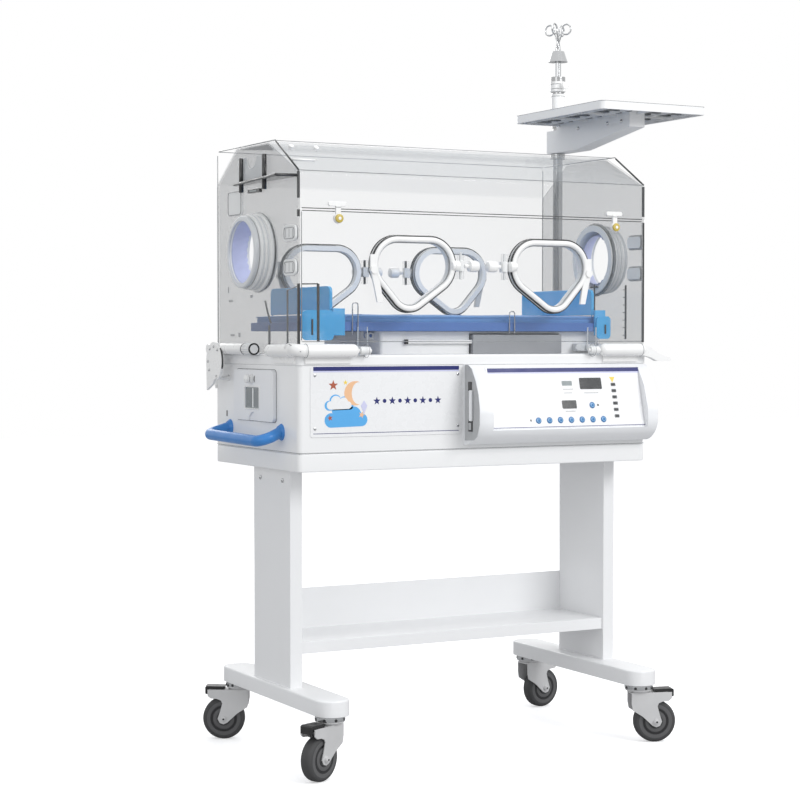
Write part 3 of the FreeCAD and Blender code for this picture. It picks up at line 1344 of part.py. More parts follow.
def make_port(name, face, way, side):
    """A port's clear door with its hinge knuckles, and the latch that it carries."""
    tag = "".join(word.title() for word in name.split("_"))
    frame_parts, (hinge_x, hinge_y, hinge_z, half) = make_port_frame(tag, face, way, side)
    centre = f"{side} * port_along"
    plate = egg(f"PortPlate{tag}", centre, PORT_Z, side, "- port_gap",
                *out_span(face, way, "port_flange + port_gap", "port_flange + port_gap + port_plate"))
    bits = []
    reach = f"({centre} - {side} * (egg_half + egg_round - 12))"
    for row, sign in enumerate((-1, 1)):
        middle = f"({hinge_z} + {sign} * ({half} + 9))"
        sleeve = rod(f"PortSleeveKnuckle{tag}{row}", "port_knuckle", "Z", f"{middle} - 8.5",
                     f"{middle} + 8.5", (hinge_x, hinge_y))
        across = (hinge_x, reach) if side > 0 else (reach, hinge_x)
        arm = block(f"PortArm{tag}{row}", across,
                    out_span(face, way, "port_flange + port_gap", "port_flange + port_gap + port_plate"),
                    (f"{middle} - 8.5", f"{middle} + 8.5"))
        bits.extend((sleeve, arm))
    bore = rod(f"PortBore{tag}", "port_pin + turn_slack", "Z", f"{hinge_z} - {half} - 20",
               f"{hinge_z} + {half} + 20", (hinge_x, hinge_y))
    gap = block(f"PortArmGap{tag}", (f"{hinge_x} - port_knuckle - 1", f"{hinge_x} + port_knuckle + 1"),
                out_span(face, way, "port_gap", "port_flange + port_gap + port_plate + 10"),
                (f"{hinge_z} - {half} - 0.4", f"{hinge_z} + {half} + 0.4"))
    latch_x = f"({centre} + {side} * port_latch_out)"
    latch_z = f"({PORT_Z} + 8)"
    deep = out_span(face, way, "port_flange + port_gap - 1", "port_flange + port_gap + port_plate + 1")
    latch_hole = rod(f"LatchHole{tag}", "latch_pin + turn_slack", "Y", *deep, (latch_x, latch_z))
    boss = rod(f"LatchBoss{tag}", "10", "Y",
               *out_span(face, way, "port_flange + port_gap", "port_flange + port_gap + port_plate"),
               (latch_x, latch_z))
    node(f"port_door_{name}", cut(f"PortDoor{tag}", fuse(f"PortDoorSolid{tag}", plate, boss, *bits),
                                  bore, gap, latch_hole))

    surface = "port_flange + port_gap + port_plate + port_gap"
    stay = out_span(face, way, surface, f"{surface} + latch_thick")
    s = side
    paddle = [
        (f"{latch_x} + {s} * 2 - 6", f"{latch_z} + 34"),
        (f"{latch_x} + {s} * 2 + 6", f"{latch_z} + 34"),
        (f"{latch_x} + 8", latch_z),
        (f"{latch_x} - {s} * 10 + 8", f"{latch_z} - 40"),
        (f"{latch_x} - {s} * 16 + 7", f"{latch_z} - 72"),
        (f"{latch_x} - {s} * 16 - 7", f"{latch_z} - 72"),
        (f"{latch_x} - {s} * 10 - 8", f"{latch_z} - 40"),
        (f"{latch_x} - 8", latch_z),
    ]
    lever = prism(f"LatchPaddle{tag}", "XZ", paddle, *stay)
    button = rod(f"LatchButton{tag}", "9", "Y",
                 *out_span(face, way, surface, f"{surface} + latch_thick + 4"), (latch_x, latch_z))
    pin = rod(f"LatchPin{tag}", "latch_pin", "Y",
              *out_span(face, way, "port_flange + port_gap + 0.5", surface), (latch_x, latch_z))
    node(f"port_latch_{name}", fuse(f"PortLatch{tag}", lever, button, pin))
    return frame_parts


def make_front_door():
    low, high = f"{DECK_TOP} + door_low", f"{DECK_TOP} + door_top"
    sheet = block("DoorSheet", (f"-({HOOD_END} - door_inset)", f"{HOOD_END} - door_inset"),
                  (DOOR_OUT, f"{DOOR_OUT} + hood_skin"), (low, high))
    holes = [egg(f"FrontPortHole{index}", f"{way} * port_along", PORT_Z, way, "- port_lap",
                 f"{DOOR_OUT} - 5", f"{DOOR_OUT} + hood_skin + 5")
             for index, way in enumerate((-1, 1))]
    holes.extend(rod(f"LatchPivotHole{index}", "latch_pin + turn_slack", "Y", f"{DOOR_OUT} - 1",
                     f"{DOOR_OUT} + hood_skin + 1",
                     (f"{way} * {DOOR_LATCH_X}", DOOR_LATCH_Z))
                 for index, way in enumerate((-1, 1)))
    node("front_door", cut("FrontDoor", sheet, *holes))


def make_door_leaves():
    """Hinge leaves of the front door, one near each lower corner."""
    leaves = []
    for index, way in enumerate((-1, 1)):
        low, high = "knuckle_from", "knuckle_from + knuckle_wide"
        span = (low, high) if way > 0 else (f"-({high})", f"-({low})")
        eye = rod(f"DoorEye{index}", "knuckle_size", "X", *span, (DOOR_PIN_Y, DOOR_PIN_Z))
        leaf = block(f"DoorLeaf{index}", span, (f"{DOOR_OUT} - 5", DOOR_OUT),
                     (DOOR_PIN_Z, f"{DECK_TOP} + door_low + 34"))
        bridge = block(f"DoorLeafFoot{index}", span, (DOOR_PIN_Y, DOOR_OUT),
                       (DOOR_PIN_Z, f"{DOOR_PIN_Z} + knuckle_size"))
        bore = rod(f"DoorEyeBore{index}", "door_pin + turn_slack", "X", f"{span[0]} - 1",
                   f"{span[1]} + 1", (DOOR_PIN_Y, DOOR_PIN_Z))
        leaves.append(cut(f"DoorHinge{index}", fuse(f"DoorHingeSolid{index}", eye, leaf, bridge), bore))
    return leaves


def make_door_latches():
    for way, side in ((-1, "left"), (1, "right")):
        tag = side.title()
        x = f"{way} * {DOOR_LATCH_X}"
        z = DOOR_LATCH_Z
        back = f"({DOOR_OUT} - door_latch_gap)"
        bar_z = f"({z} + door_latch_rise)"
        deep = (f"{back} - latch_thick", back)
        eye = rod(f"DoorLatchEye{tag}", "11", "Y", *deep, (x, z))
        stalk = block(f"DoorLatchStalk{tag}", (f"{x} - 6", f"{x} + 6"), deep,
                      (z, bar_z))
        bar = block(f"DoorLatchBar{tag}", (f"{x} - 24", f"{x} + 20"), deep,
                    (f"{bar_z} - 5", f"{bar_z} + 5"))
        bar = rounded(f"DoorLatchBarRound{tag}", bar, 4, runs("Y"))
        button = rod(f"DoorLatchButton{tag}", "8.5", "Y", f"{back} - latch_thick - 5", back, (x, z))
        pin = rod(f"DoorLatchPin{tag}", "latch_pin", "Y", back,
                  f"{DOOR_OUT} + hood_skin - 0.5", (x, z))
        node(f"door_latch_{side}", fuse(f"DoorLatch{tag}", eye, stalk, bar, button, pin))


# Fixed hinge parts on the cabinet and their partners on the hood

def make_hinge_brackets():
    y, z = HINGE_Y, HINGE_Z
    lug = [
        (REAR, f"{SHELL_TOP} - 60"),
        (f"{REAR} + 8", f"{SHELL_TOP} - 60"),
        (f"{y} + 10", f"{SHELL_TOP} - 6"),
        (f"{y} + 10", f"{z} + 8"),
        (f"{y} - 8", f"{z} + 10"),
        (f"{y} - 16", f"{z} + 2"),
        (f"{REAR} + deck_lip + 1", f"{DECK_TOP} + 2"),
        (f"{REAR} + deck_lip + 1", f"{SHELL_TOP} - 2"),
        (REAR, f"{SHELL_TOP} - 2"),
    ]
    lug_solid = prism("HingeLug", "YZ", lug, f"-{HOOD_END}", f"-{HOOD_END} + hinge_lug")
    bore = rod("HingeLugBore", "hinge_pin + turn_slack", "X", f"-{HOOD_END} - 1",
               f"-{HOOD_END} + hinge_lug + 1", (y, z))
    left = cut("HingeLugLeft", lug_solid, bore)
    right = mirrored("HingeLugRight", left)
    peg_at = (f"{y} - peg_ahead", f"{z} - peg_drop")
    peg = fuse("StopPeg",
               rod("StopPegBar", "peg_size", "X", f"-{END} - peg_long", f"-{END}", peg_at),
               rod("StopPegFoot", "peg_size + 3", "X", f"-{END} - 4", f"-{END}", peg_at))

    cover_from = "(knuckle_from + knuckle_wide + knuckle_gap)"
    behind = block("CoverBehind", ("-600", "600"), (f"{FRONT} - deck_lip", f"{FRONT} + 40"),
                   (f"{SHELL_TOP} - 20", f"{DECK_TOP} + 60"))
    covers = []
    for index, way in enumerate((-1, 1)):
        low, high = f"{cover_from} + door_cover", f"door_cover_{'right' if way > 0 else 'left'}"
        span = (low, high) if way > 0 else (f"-({high})", f"-({low})")
        foot = block(f"DoorCoverFoot{index}", span,
                     (f"{FRONT} - deck_lip - 4", f"{FRONT} - deck_lip"),
                     (f"{SHELL_TOP} + 4", f"{DECK_TOP} + 2"))
        tube = rod(f"DoorCover{index}", "door_cover", "X", *span, (DOOR_PIN_Y, DOOR_PIN_Z))
        ends = [ball(f"DoorCoverEnd{index}{row}", "door_cover", (place, DOOR_PIN_Y, DOOR_PIN_Z))
                for row, place in enumerate(span)]
        capsule = cut(f"DoorCoverFlat{index}", fuse(f"DoorCapsule{index}", tube, *ends), behind)
        pin_from = "(knuckle_from - 4)"
        pin_span = (pin_from, low) if way > 0 else (f"-({low})", f"-{pin_from}")
        pin = rod(f"DoorPin{index}", "door_pin", "X", *pin_span, (DOOR_PIN_Y, DOOR_PIN_Z))
        covers.append(fuse(f"DoorBracket{index}", capsule, foot, pin))
    side_y = ("side_cover_front", "side_cover_rear")
    side_x = f"(-{END} - deck_lip - 11)"
    side_tube = rod("SideCoverTube", "side_cover", "Y", *side_y, (side_x, DOOR_PIN_Z))
    side_ends = [ball(f"SideCoverEnd{row}", "side_cover", (side_x, place, DOOR_PIN_Z))
                 for row, place in enumerate(side_y)]
    inboard = block("SideInboard", (f"-{END} - deck_lip", f"-{END} + 40"), ("-230", "20"),
                    (f"{SHELL_TOP} - 20", f"{DECK_TOP} + 60"))
    side_foot = block("SideCoverFoot", (f"-{END} - deck_lip - 4", f"-{END} - deck_lip"), side_y,
                      (f"{SHELL_TOP} + 4", f"{DECK_TOP} + 2"))
    side = fuse("SideCover", cut("SideCoverFlat", fuse("SideCapsule", side_tube, *side_ends), inboard),
                side_foot)
    lever = [
        (f"{END} - 24", f"{DOOR_PIN_Z} + 10"),
        (f"{END} - 1", f"{DOOR_PIN_Z} + 8"),
        (f"{END} + 24", f"{DOOR_PIN_Z} - 9"),
        (f"{END} + 62", f"{DOOR_PIN_Z} - 21"),
        (f"{END} + 60", f"{DOOR_PIN_Z} - 27"),
        (f"{END} + 21", f"{DOOR_PIN_Z} - 27"),
        (f"{END} + 4", f"{DOOR_PIN_Z} - 19"),
        (f"{END} - 24", f"{DOOR_PIN_Z} - 12"),
    ]
    lever_solid = prism("RightLever", "XZ", lever, f"{DOOR_PIN_Y} - 8", f"{DOOR_PIN_Y} + 8")
    right_bracket = fuse("RightBracket", covers[1], lever_solid)
    node("hinge_brackets", group("HingeBrackets", left, right, peg, covers[0], right_bracket, side))


def make_hinge_arms():
    y, z = HINGE_Y, HINGE_Z
    near, far = f"-{HOOD_END} - hinge_space - hinge_arm", f"-{HOOD_END} - hinge_space"
    top, low = f"{z} + 10", f"{z} - 9.5"
    bar = block("HingeArmBar", (near, far), (f"{y} - grip_front + 4", y), (low, top))
    eye = rod("HingeArmEye", "11", "X", near, far, (y, z))
    foot = block("HingeArmFoot", (far, f"-{HOOD_END}"), (f"{y} - 118", f"{y} - 70"), (f"{z} - 8", top))
    pin = rod("HingePin", "hinge_pin", "X", near, f"-{HOOD_END} + hinge_lug", (y, z))
    plain = fuse("HingeArmPlain", bar, eye, foot, pin)
    right = mirrored("HingeArmRight", plain)

    grip_x = f"(-{HOOD_END} - grip_out)"
    grip_z = f"({z} + 1)"
    grip = rod("HingeGrip", "grip_size", "Y", f"{y} - grip_front", f"{y} - grip_rear", (grip_x, grip_z))
    grip_end = ball("HingeGripEnd", "grip_size", (grip_x, f"{y} - grip_rear", grip_z))
    knob_to = f"({y} - grip_front - 6)"
    knob = rod("HingeKnob", "hinge_knob", "Y", f"{knob_to} - hinge_knob_long", knob_to, (grip_x, grip_z))
    neck = rod("HingeNeck", "9", "Y", f"{knob_to} - 1", f"{y} - grip_front + 1", (grip_x, grip_z))

    face = (f"{grip_x} - grip_size - fan_plate_thick / 2", f"{grip_x} - grip_size + fan_plate_thick / 2")
    centre = (f"{y} - fan_plate_ahead", f"{z} - fan_plate_drop")
    disc = rod("FanPlateDisc", "fan_plate_size", "X", *face, centre)
    tail = prism("FanPlateTail", "YZ", [
        (f"{centre[0]} + fan_plate_size", centre[1]),
        (f"{centre[0]} + fan_plate_size - 3", f"{centre[1]} - 68"),
        (f"{centre[0]} - 33", f"{centre[1]} - 36"),
        (f"{centre[0]} - fan_plate_size", centre[1])], *face)
    path = "sqrt(peg_ahead ^ 2 + peg_drop ^ 2)"
    room = "(peg_size + peg_room)"
    way_round = ring("PegPath", f"{path} + {room}", f"{path} - {room}", "X", *face, (y, z))
    lower = block("PegPathPart", (f"{face[0]} - 2", f"{face[1]} + 2"),
                  (f"{y} - 2 * peg_ahead", f"{y} - 20"),
                  (f"{z} - 2 * peg_ahead", f"{z} - peg_drop + {room}"))
    fan_solid = cut("FanPlate", fuse("FanPlateSolid", disc, tail),
                    common("PegSlot", way_round, lower))
    left = fuse("HingeArmLeft", plain, grip, grip_end, knob, neck, fan_solid)
    node("hood_hinge_arms", group("HoodHingeArms", left, right))


def make_tubing_holder():
    """Breathing-tube rest on the left end panel: two rods, a notched plate and a shelf."""
    face = f"(-{HOOD_END})"
    plate = block("HolderPlate", (f"{face} - holder_plate", face), ("holder_front", "holder_rear"),
                  (f"{HOLDER_LOW} + holder_shelf_up", HOLDER_TOP))
    notch = rod("HolderNotch", "notch_size", "X", f"{face} - holder_plate - 1", f"{face} + 1",
                ("notch_at", f"{HOLDER_TOP} + holder_rod"))
    rods = [rod(f"HolderRod{index}", "holder_rod", "Z", HOLDER_LOW, HOLDER_TOP,
                (f"{face} - holder_rod", place))
            for index, place in enumerate(("holder_front", "holder_rear"))]
    bar = block("HolderBar", (f"{face} - 8", face), ("-1", "63"),
                (f"{HOLDER_LOW} - 4", f"{HOLDER_LOW} + 4"))
    rail = block("HolderRail", (f"{face} - 3", face), ("holder_front", "holder_rear"),
                 (f"{HOLDER_LOW} + 2", f"{HOLDER_LOW} + holder_shelf_up + 1"))
    low = f"({HOLDER_LOW} + holder_shelf_up)"
    shelf = prism("HolderShelf", "XY", [
        (face, "holder_shelf_front"),
        (f"{face} - holder_shelf_out", "holder_shelf_front + 6"),
        (f"{face} - holder_shelf_tail", "holder_shelf_rear"),
        (face, "holder_shelf_rear")], low, f"{low} + holder_shelf_thick")
    plate_cut = cut("HolderPlateCut", plate, notch)
    node("tubing_holder", fuse("TubingHolder", plate_cut, *rods, bar, rail, shelf))


# Mast with its tray and infusion rod

def make_mast():
    at = MAST_AT
    tube = rod("MastTubeSolid", "mast_tube", "Z", "mast_bottom", "mast_top", at)
    parts = [tube,
             rod("MastSleeve", "mast_sleeve", "Z", "tray_low + arm_gap", "mast_top", at),
             rod("MastStop", "mast_collar", "Z", "arm_low - arm_gap - 14", "arm_low - arm_gap", at),
             rod("MastCollar", "mast_collar", "Z", "mast_top", "mast_top + collar_tall", at),
             rod("MastFoot", "mast_tube + 3", "Z", "mast_bottom - 6", "mast_bottom + 4", at)]
    for index, low in enumerate((f"{BASE_TOP} + 10", f"{BASE_TOP} + 130")):
        parts.append(block(f"MastClamp{index}", (END, f"{MAST_X} + clamp_half"),
                           (f"{MAST_Y} - clamp_half", f"{MAST_Y} + clamp_half"),
                           (low, f"{low} + clamp_tall")))
    bore = rod("MastBore", "rod_size + turn_slack", "Z", "mast_bottom + 4",
               "mast_top + collar_tall + 1", at)
    node("mast", cut("Mast", fuse("MastSolid", *parts), bore))

    arm = [
        (ARM_REAR, "arm_low"),
        (ARM_REAR, "tray_low"),
        (ARM_FRONT, "tray_low"),
        (ARM_FRONT, "arm_tip_low"),
        (f"{MAST_Y} - arm_flat", "arm_low"),
    ]
    beam = prism("ArmBeam", "YZ", arm, f"{MAST_X} - arm_half", f"{MAST_X} + arm_half")
    lift = cut("ArmHollow", beam,
               block("ArmGap", (f"{MAST_X} - arm_half - 1", f"{MAST_X} + arm_half + 1"),
                     (f"{MAST_Y} - arm_half - 6", f"{ARM_REAR} + 1"),
                     ("tray_low - 8", "tray_low + 1")))
    bore = rod("ArmBore", "mast_tube + turn_slack", "Z", "arm_low - 1", "tray_low + 1", at)
    node("tray_arm", cut("TrayArm", lift, bore))

    span = (f"{MAST_X} - tray_half", f"{MAST_X} + tray_half")
    plate = block("TrayOuter", span, (TRAY_FRONT, TRAY_REAR),
                  ("tray_low", "tray_low + tray_tall"))
    plate = rounded("TrayRound", plate, SIZES["tray_round"], runs("Z"))
    well = block("TrayWell", (f"{span[0]} + tray_rim", f"{span[1]} - tray_rim"),
                 (f"{TRAY_FRONT} + tray_rim", f"{TRAY_REAR} - tray_rim"),
                 ("tray_low + tray_tall - 6", "tray_low + tray_tall + 1"))
    under = block("TrayUnder", (f"{span[0]} + tray_rim", f"{span[1]} - tray_rim"),
                  (f"{TRAY_FRONT} + tray_rim", f"{TRAY_REAR} - tray_rim"),
                  ("tray_low - 1", "tray_low + tray_tall - 6 - tray_wall"))
    ribs = []
    for index in range(5):
        offset = f"(tray_half * {(index - 2) * 0.4})"
        ribs.append(block(f"TrayRib{index}", (f"{MAST_X} + {offset} - 1.5", f"{MAST_X} + {offset} + 1.5"),
                          (f"{TRAY_FRONT} + tray_rim - 1", f"{TRAY_REAR} - tray_rim + 1"),
                          ("tray_low + 1", "tray_low + tray_tall - 7")))
    rail = block("TrayRail", (f"{MAST_X} - arm_half", f"{MAST_X} + arm_half"),
                 (ARM_FRONT, f"{TRAY_REAR} - tray_rim + 1"),
                 ("tray_low", "tray_low + tray_tall - 7"))
    cross = [block(f"TrayCross{index}", (f"{span[0]} + 1", f"{span[1]} - 1"),
                   (f"{place} - 1.5", f"{place} + 1.5"), ("tray_low + 1", "tray_low + tray_tall - 7"))
             for index, place in enumerate((f"{TRAY_FRONT} + 127", f"{TRAY_REAR} - 133"))]
    dish = cut("TrayDish", plate, well, under)
    node("equipment_tray", fuse("EquipmentTray", dish, rail, *ribs, *cross))


def make_infusion_rod():
    size = SIZES
    at = MAST_AT
    parts = [rod("RodBar", "rod_size", "Z", "rod_bottom", "rod_top", at),
             rod("RodCap", "cap_size", "Z", "cap_bottom", "cap_top", at, tip="cap_neck")]
    wire = size["hook_wire"]
    loop = size["hook_loop"]
    reach = size["hook_reach"]
    top = size["cap_top"] + size["hook_rise"]
    for index in range(4):
        turn = FreeCAD.Rotation(FreeCAD.Vector(0, 0, 1), 28 + 90 * index)
        foot = FreeCAD.Vector(-9, 2.5, size["cap_top"] - 4)
        start_angle = math.radians(200)
        start = FreeCAD.Vector(reach + loop * math.cos(start_angle), 2.5,
                               top + loop * math.sin(start_angle))
        stalk = Part.makeCylinder(wire, (start - foot).Length, foot, start - foot)
        end_angle = math.radians(-130)
        middle_angle = (start_angle + end_angle) / 2
        finish = FreeCAD.Vector(reach + loop * math.cos(end_angle), 2.5,
                                top + loop * math.sin(end_angle))
        middle = FreeCAD.Vector(reach + loop * math.cos(middle_angle), 2.5,
                                top + loop * math.sin(middle_angle))
        arc = Part.Arc(start, middle, finish).toShape()
        way = FreeCAD.Vector(math.sin(start_angle), 0, -math.cos(start_angle))
        circle = Part.makeCircle(wire, start, way)
        sweep = Part.Wire([arc]).makePipeShell([Part.Wire([circle])], True, True)
        hook = DOC.addObject("Part::Feature", f"Hook{index}")
        hook.Shape = stalk.fuse([sweep, Part.makeSphere(wire, start), Part.makeSphere(wire, finish)])
        hook.Placement = FreeCAD.Placement(FreeCAD.Vector(number(MAST_X), number(MAST_Y), 0), turn)
        parts.append(hook)
    node("infusion_rod", fuse("InfusionRod", *parts))


def make_ports():
    rear_frames = []
    front_frames = []
    for name, face, way, side in (("front_left", DOOR_OUT, -1, -1), ("front_right", DOOR_OUT, -1, 1),
                                  ("rear_left", HOOD_BACK, 1, -1), ("rear_right", HOOD_BACK, 1, 1)):
        parts = make_port(name, face, way, side)
        (front_frames if way < 0 else rear_frames).extend(parts)
    return front_frames, rear_frames


def write_parts():
    DOC.recompute()
    for item in DOC.Objects:
        if "Invalid" in item.State or "Error" in item.State:
            raise RuntimeError(f"{item.Name} failed: {item.State}")
    for item in NODES:
        if item.Shape.isNull() or not item.Shape.isValid() or not item.Shape.Solids:
            raise RuntimeError(f"{item.Label} has no valid solid")
    os.makedirs("parts", exist_ok=True)
    for item in NODES:
        item.Shape.exportStep(f"parts/{item.Label}.step")
        print(f"{item.Label:26s} {len(item.Shape.Solids):3d} {item.Shape.Volume / 1000:10.1f} cm3")
    print(len(NODES), "nodes")


def main():
    make_sheet()
    make_legs()
    make_shelf()
    make_base()
    make_cabinet()
    make_deck()
    make_fascia()
    make_handles()
    for name, corner_x, corner_y in (("front_left", -1, -1), ("front_right", 1, -1),
                                     ("rear_left", -1, 1), ("rear_right", 1, 1)):
        make_castor(name, corner_x, corner_y)
    make_control_housing()
    make_control_panel()
    make_service_panel()
    make_drawer()
    make_air_system()
    make_bed()
    make_hood()
    make_grommets()
    housings = make_iris_ports()
    front_frames, rear_frames = make_ports()
    node("front_port_frames", group("FrontPortFrames", *front_frames, *make_door_leaves()))
    node("hood_port_frames", group("HoodPortFrames", *rear_frames, *housings))
    make_front_door()
    make_door_latches()
    make_hinge_brackets()
    make_hinge_arms()
    make_tubing_holder()
    make_mast()
    make_infusion_rod()
    write_parts()


main()
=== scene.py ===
import math

import bmesh
import bpy
from mathutils import Matrix, Vector


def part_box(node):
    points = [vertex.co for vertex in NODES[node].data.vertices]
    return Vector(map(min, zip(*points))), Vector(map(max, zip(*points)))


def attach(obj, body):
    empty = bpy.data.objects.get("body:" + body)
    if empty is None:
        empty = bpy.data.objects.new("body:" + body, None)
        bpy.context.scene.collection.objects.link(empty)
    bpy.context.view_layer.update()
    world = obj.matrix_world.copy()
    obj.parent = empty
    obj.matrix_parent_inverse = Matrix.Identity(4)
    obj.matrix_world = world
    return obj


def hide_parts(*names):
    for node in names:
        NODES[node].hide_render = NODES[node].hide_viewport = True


# Looks of the infant incubator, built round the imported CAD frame. Places are given in millimetres.

MM = 0.001

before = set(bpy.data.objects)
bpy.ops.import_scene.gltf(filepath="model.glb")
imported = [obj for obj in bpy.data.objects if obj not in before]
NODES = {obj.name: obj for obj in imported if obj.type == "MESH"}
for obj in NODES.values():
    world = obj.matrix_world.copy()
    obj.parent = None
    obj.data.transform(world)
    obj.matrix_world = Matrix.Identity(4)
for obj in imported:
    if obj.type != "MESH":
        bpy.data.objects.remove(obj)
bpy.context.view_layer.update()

# Faces and heights that several pieces share
FRONT = -194.0
CABINET_END = 460.0
SHELL_TOP = 900.0
HOOD_END = 458.0
HOOD_BACK = 262.0
DOOR_FACE = -194.4
DOOR_LOW = 951.0
DOOR_TOP = 1239.0
DOOR_HALF = 452.0
PORT_X = 180.0
PORT_Z = 1103.0
IRIS_Y = 20.0
IRIS_Z = 1154.0
MAST_X = 490.0
MAST_Y = 240.0
SIDES = ((-1, "left"), (1, "right"))

# How finely arcs are divided
CORNER_STEPS = 6
EGG_STEPS = 22
MOON_STEPS = 24


# Small tools

def spot(x, y, z):
    """A place given in millimetres."""
    return Vector((x, y, z)) * MM


def corners(node):
    """A CAD node's low and high corner, in millimetres."""
    low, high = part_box(node)
    return Vector(low) / MM, Vector(high) / MM


def add_object(name, data):
    piece = bpy.data.objects.new(name, data)
    bpy.context.scene.collection.objects.link(piece)
    return piece


def finished(name, work, look, body):
    """A smooth piece from a worked mesh, with its look, riding on its body."""
    bmesh.ops.remove_doubles(work, verts=work.verts, dist=1e-6)
    bmesh.ops.recalc_face_normals(work, faces=work.faces)
    mesh = bpy.data.meshes.new(name)
    work.to_mesh(mesh)
    work.free()
    piece = add_object(name, mesh)
    mesh.materials.append(M[look])
    for polygon in mesh.polygons:
        polygon.use_smooth = True
    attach(piece, body)
    return piece


def stitch(work, here, there):
    """Faces all round between two closed rows with as many points."""
    for index in range(len(here)):
        following = (index + 1) % len(here)
        work.faces.new((here[index], here[following], there[following], there[index]))


def bevel(piece, width, segments=3, angle=35):
    """Round a piece's hard edges, with flat faces left flat."""
    edge = piece.modifiers.new("Edges", "BEVEL")
    edge.width = width * MM
    edge.segments = segments
    edge.limit_method = "ANGLE"
    edge.angle_limit = math.radians(angle)
    edge.harden_normals = True
    edge.use_clamp_overlap = True
    return piece


def slab(name, x, y, z, look, body, edge=1.0):
    """A plate or block with rounded edges between pairs of low and high places."""
    work = bmesh.new()
    bmesh.ops.create_cube(work, size=1.0)
    middle = spot(sum(x) / 2, sum(y) / 2, sum(z) / 2)
    size = Matrix.Diagonal((*(spot(x[1] - x[0], y[1] - y[0], z[1] - z[0])), 1.0))
    bmesh.ops.transform(work, matrix=Matrix.Translation(middle) @ size, verts=work.verts)
    return bevel(finished(name, work, look, body), edge)


AXES = {
    "x": Matrix(((0, 0, 1), (1, 0, 0), (0, 1, 0))),
    "y": Matrix(((1, 0, 0), (0, 0, 1), (0, 1, 0))),
    "z": Matrix.Identity(3),
}


def about(centre, axis, radius, angle, along):
    """A place at a radius and an angle round an axis, and so far along it."""
    turn = axis if isinstance(axis, Matrix) else AXES[axis]
    local = Vector((radius * math.cos(angle), radius * math.sin(angle), along))
    return spot(*centre) + (turn @ local) * MM


def lathe(name, profile, centre, axis, look, body, steps=64):
    """A turned piece: profile is a list of (radius, place along the axis), in millimetres."""
    work = bmesh.new()
    rows = [[work.verts.new(about(centre, axis, radius, 2 * math.pi * step / steps, along))
             for step in range(steps)] for radius, along in profile]
    for lower, upper in zip(rows, rows[1:]):
        stitch(work, lower, upper)
    for row in (rows[0], rows[-1]):
        if row is rows[0] or profile[0] != profile[-1]:
            work.faces.new(row)
    return bevel(finished(name, work, look, body), 0.25, 2)


def ring_band(name, profile, centre, axis, look, body, steps=96):
    """A turned ring whose profile closes on itself."""
    work = bmesh.new()
    rows = [[work.verts.new(about(centre, axis, radius, 2 * math.pi * step / steps, along))
             for radius, along in profile] for step in range(steps)]
    for step in range(steps):
        stitch(work, rows[step], rows[(step + 1) % steps])
    return bevel(finished(name, work, look, body), 0.4, 2)


def square(inner, outer, low, high):
    """A ring's profile between two radii and two places along its axis."""
    return [(inner, low), (outer, low), (outer, high), (inner, high)]


def plate(name, outline, to_world, thick, look, body, edge=0.4):
    """A flat plate: outline points are pairs in a plane, and to_world(a, b, out) places them."""
    work = bmesh.new()
    back = [work.verts.new(to_world(a, b, 0.0)) for a, b in outline]
    face = [work.verts.new(to_world(a, b, thick)) for a, b in outline]
    work.faces.new(back)
    work.faces.new(face)
    stitch(work, back, face)
    return bevel(finished(name, work, look, body), edge, 2)


def round_box(a, b, radius):
    """Outline of a rectangle with round corners, between pairs of low and high values."""
    points = []
    for centre_a, centre_b, start in ((a[1] - radius, b[1] - radius, 0),
                                      (a[0] + radius, b[1] - radius, 90),
                                      (a[0] + radius, b[0] + radius, 180),
                                      (a[1] - radius, b[0] + radius, 270)):
        for step in range(CORNER_STEPS + 1):
            angle = math.radians(start + 90 * step / CORNER_STEPS)
            points.append((centre_a + radius * math.cos(angle), centre_b + radius * math.sin(angle)))
    return points


def disc(centre, radius, steps=40):
    return [(centre[0] + radius * math.cos(2 * math.pi * step / steps),
             centre[1] + radius * math.sin(2 * math.pi * step / steps)) for step in range(steps)]


def sweep(name, path, section, look, body, closed=True):
    """A section of (a, b) points carried along a path, turning no more than the path does."""
    work = bmesh.new()
    count = len(path)
    rows = []
    frame_side = None
    for index in range(count):
        before = path[index - 1] if closed or index else path[0]
        after = path[(index + 1) % count] if closed or index < count - 1 else path[-1]
        ahead = (after - before).normalized()
        if frame_side is None:
            seed = Vector((0, 1, 0)) if abs(ahead.y) < 0.9 else Vector((1, 0, 0))
            frame_side = ahead.cross(seed).normalized()
        frame_side = (frame_side - ahead * frame_side.dot(ahead)).normalized()
        up = ahead.cross(frame_side)
        rows.append([work.verts.new(path[index] + (frame_side * a + up * b) * MM)
                     for a, b in section])
    for index in range(count if closed else count - 1):
        stitch(work, rows[index], rows[(index + 1) % count])
    if not closed:
        work.faces.new(rows[0])
        work.faces.new(rows[-1])
    return finished(name, work, look, body)


def round_section(radius, steps=14, flat=1.0):
    return [(radius * math.cos(2 * math.pi * step / steps),
             radius * flat * math.sin(2 * math.pi * step / steps)) for step in range(steps)]


def eased(points, radius, closed=False):
    """A path through corner points, in millimetres, with each corner turned into an arc."""
    corner = [Vector(point) for point in points]
    count = len(corner)
    path = []
    for index in range(count):
        if not closed and index in (0, count - 1):
            path.append(corner[index] * MM)
            continue
        here = corner[index]
        before = corner[index - 1]
        after = corner[(index + 1) % count]
        into = (here - before).normalized()
        away = (after - here).normalized()
        back = min(radius, (here - before).length * 0.45, (after - here).length * 0.45)
        first = here - into * back
        last = here + away * back
        for step in range(CORNER_STEPS + 1):
            part = step / CORNER_STEPS
            path.append((first.lerp(here, part)).lerp(here.lerp(last, part), part) * MM)
    return path


def wire(name, points, radius, look, body, bend=1.0, closed=False, steps=12):
    return sweep(name, eased(points, bend, closed=closed), round_section(radius, steps), look,
                 body, closed=closed)


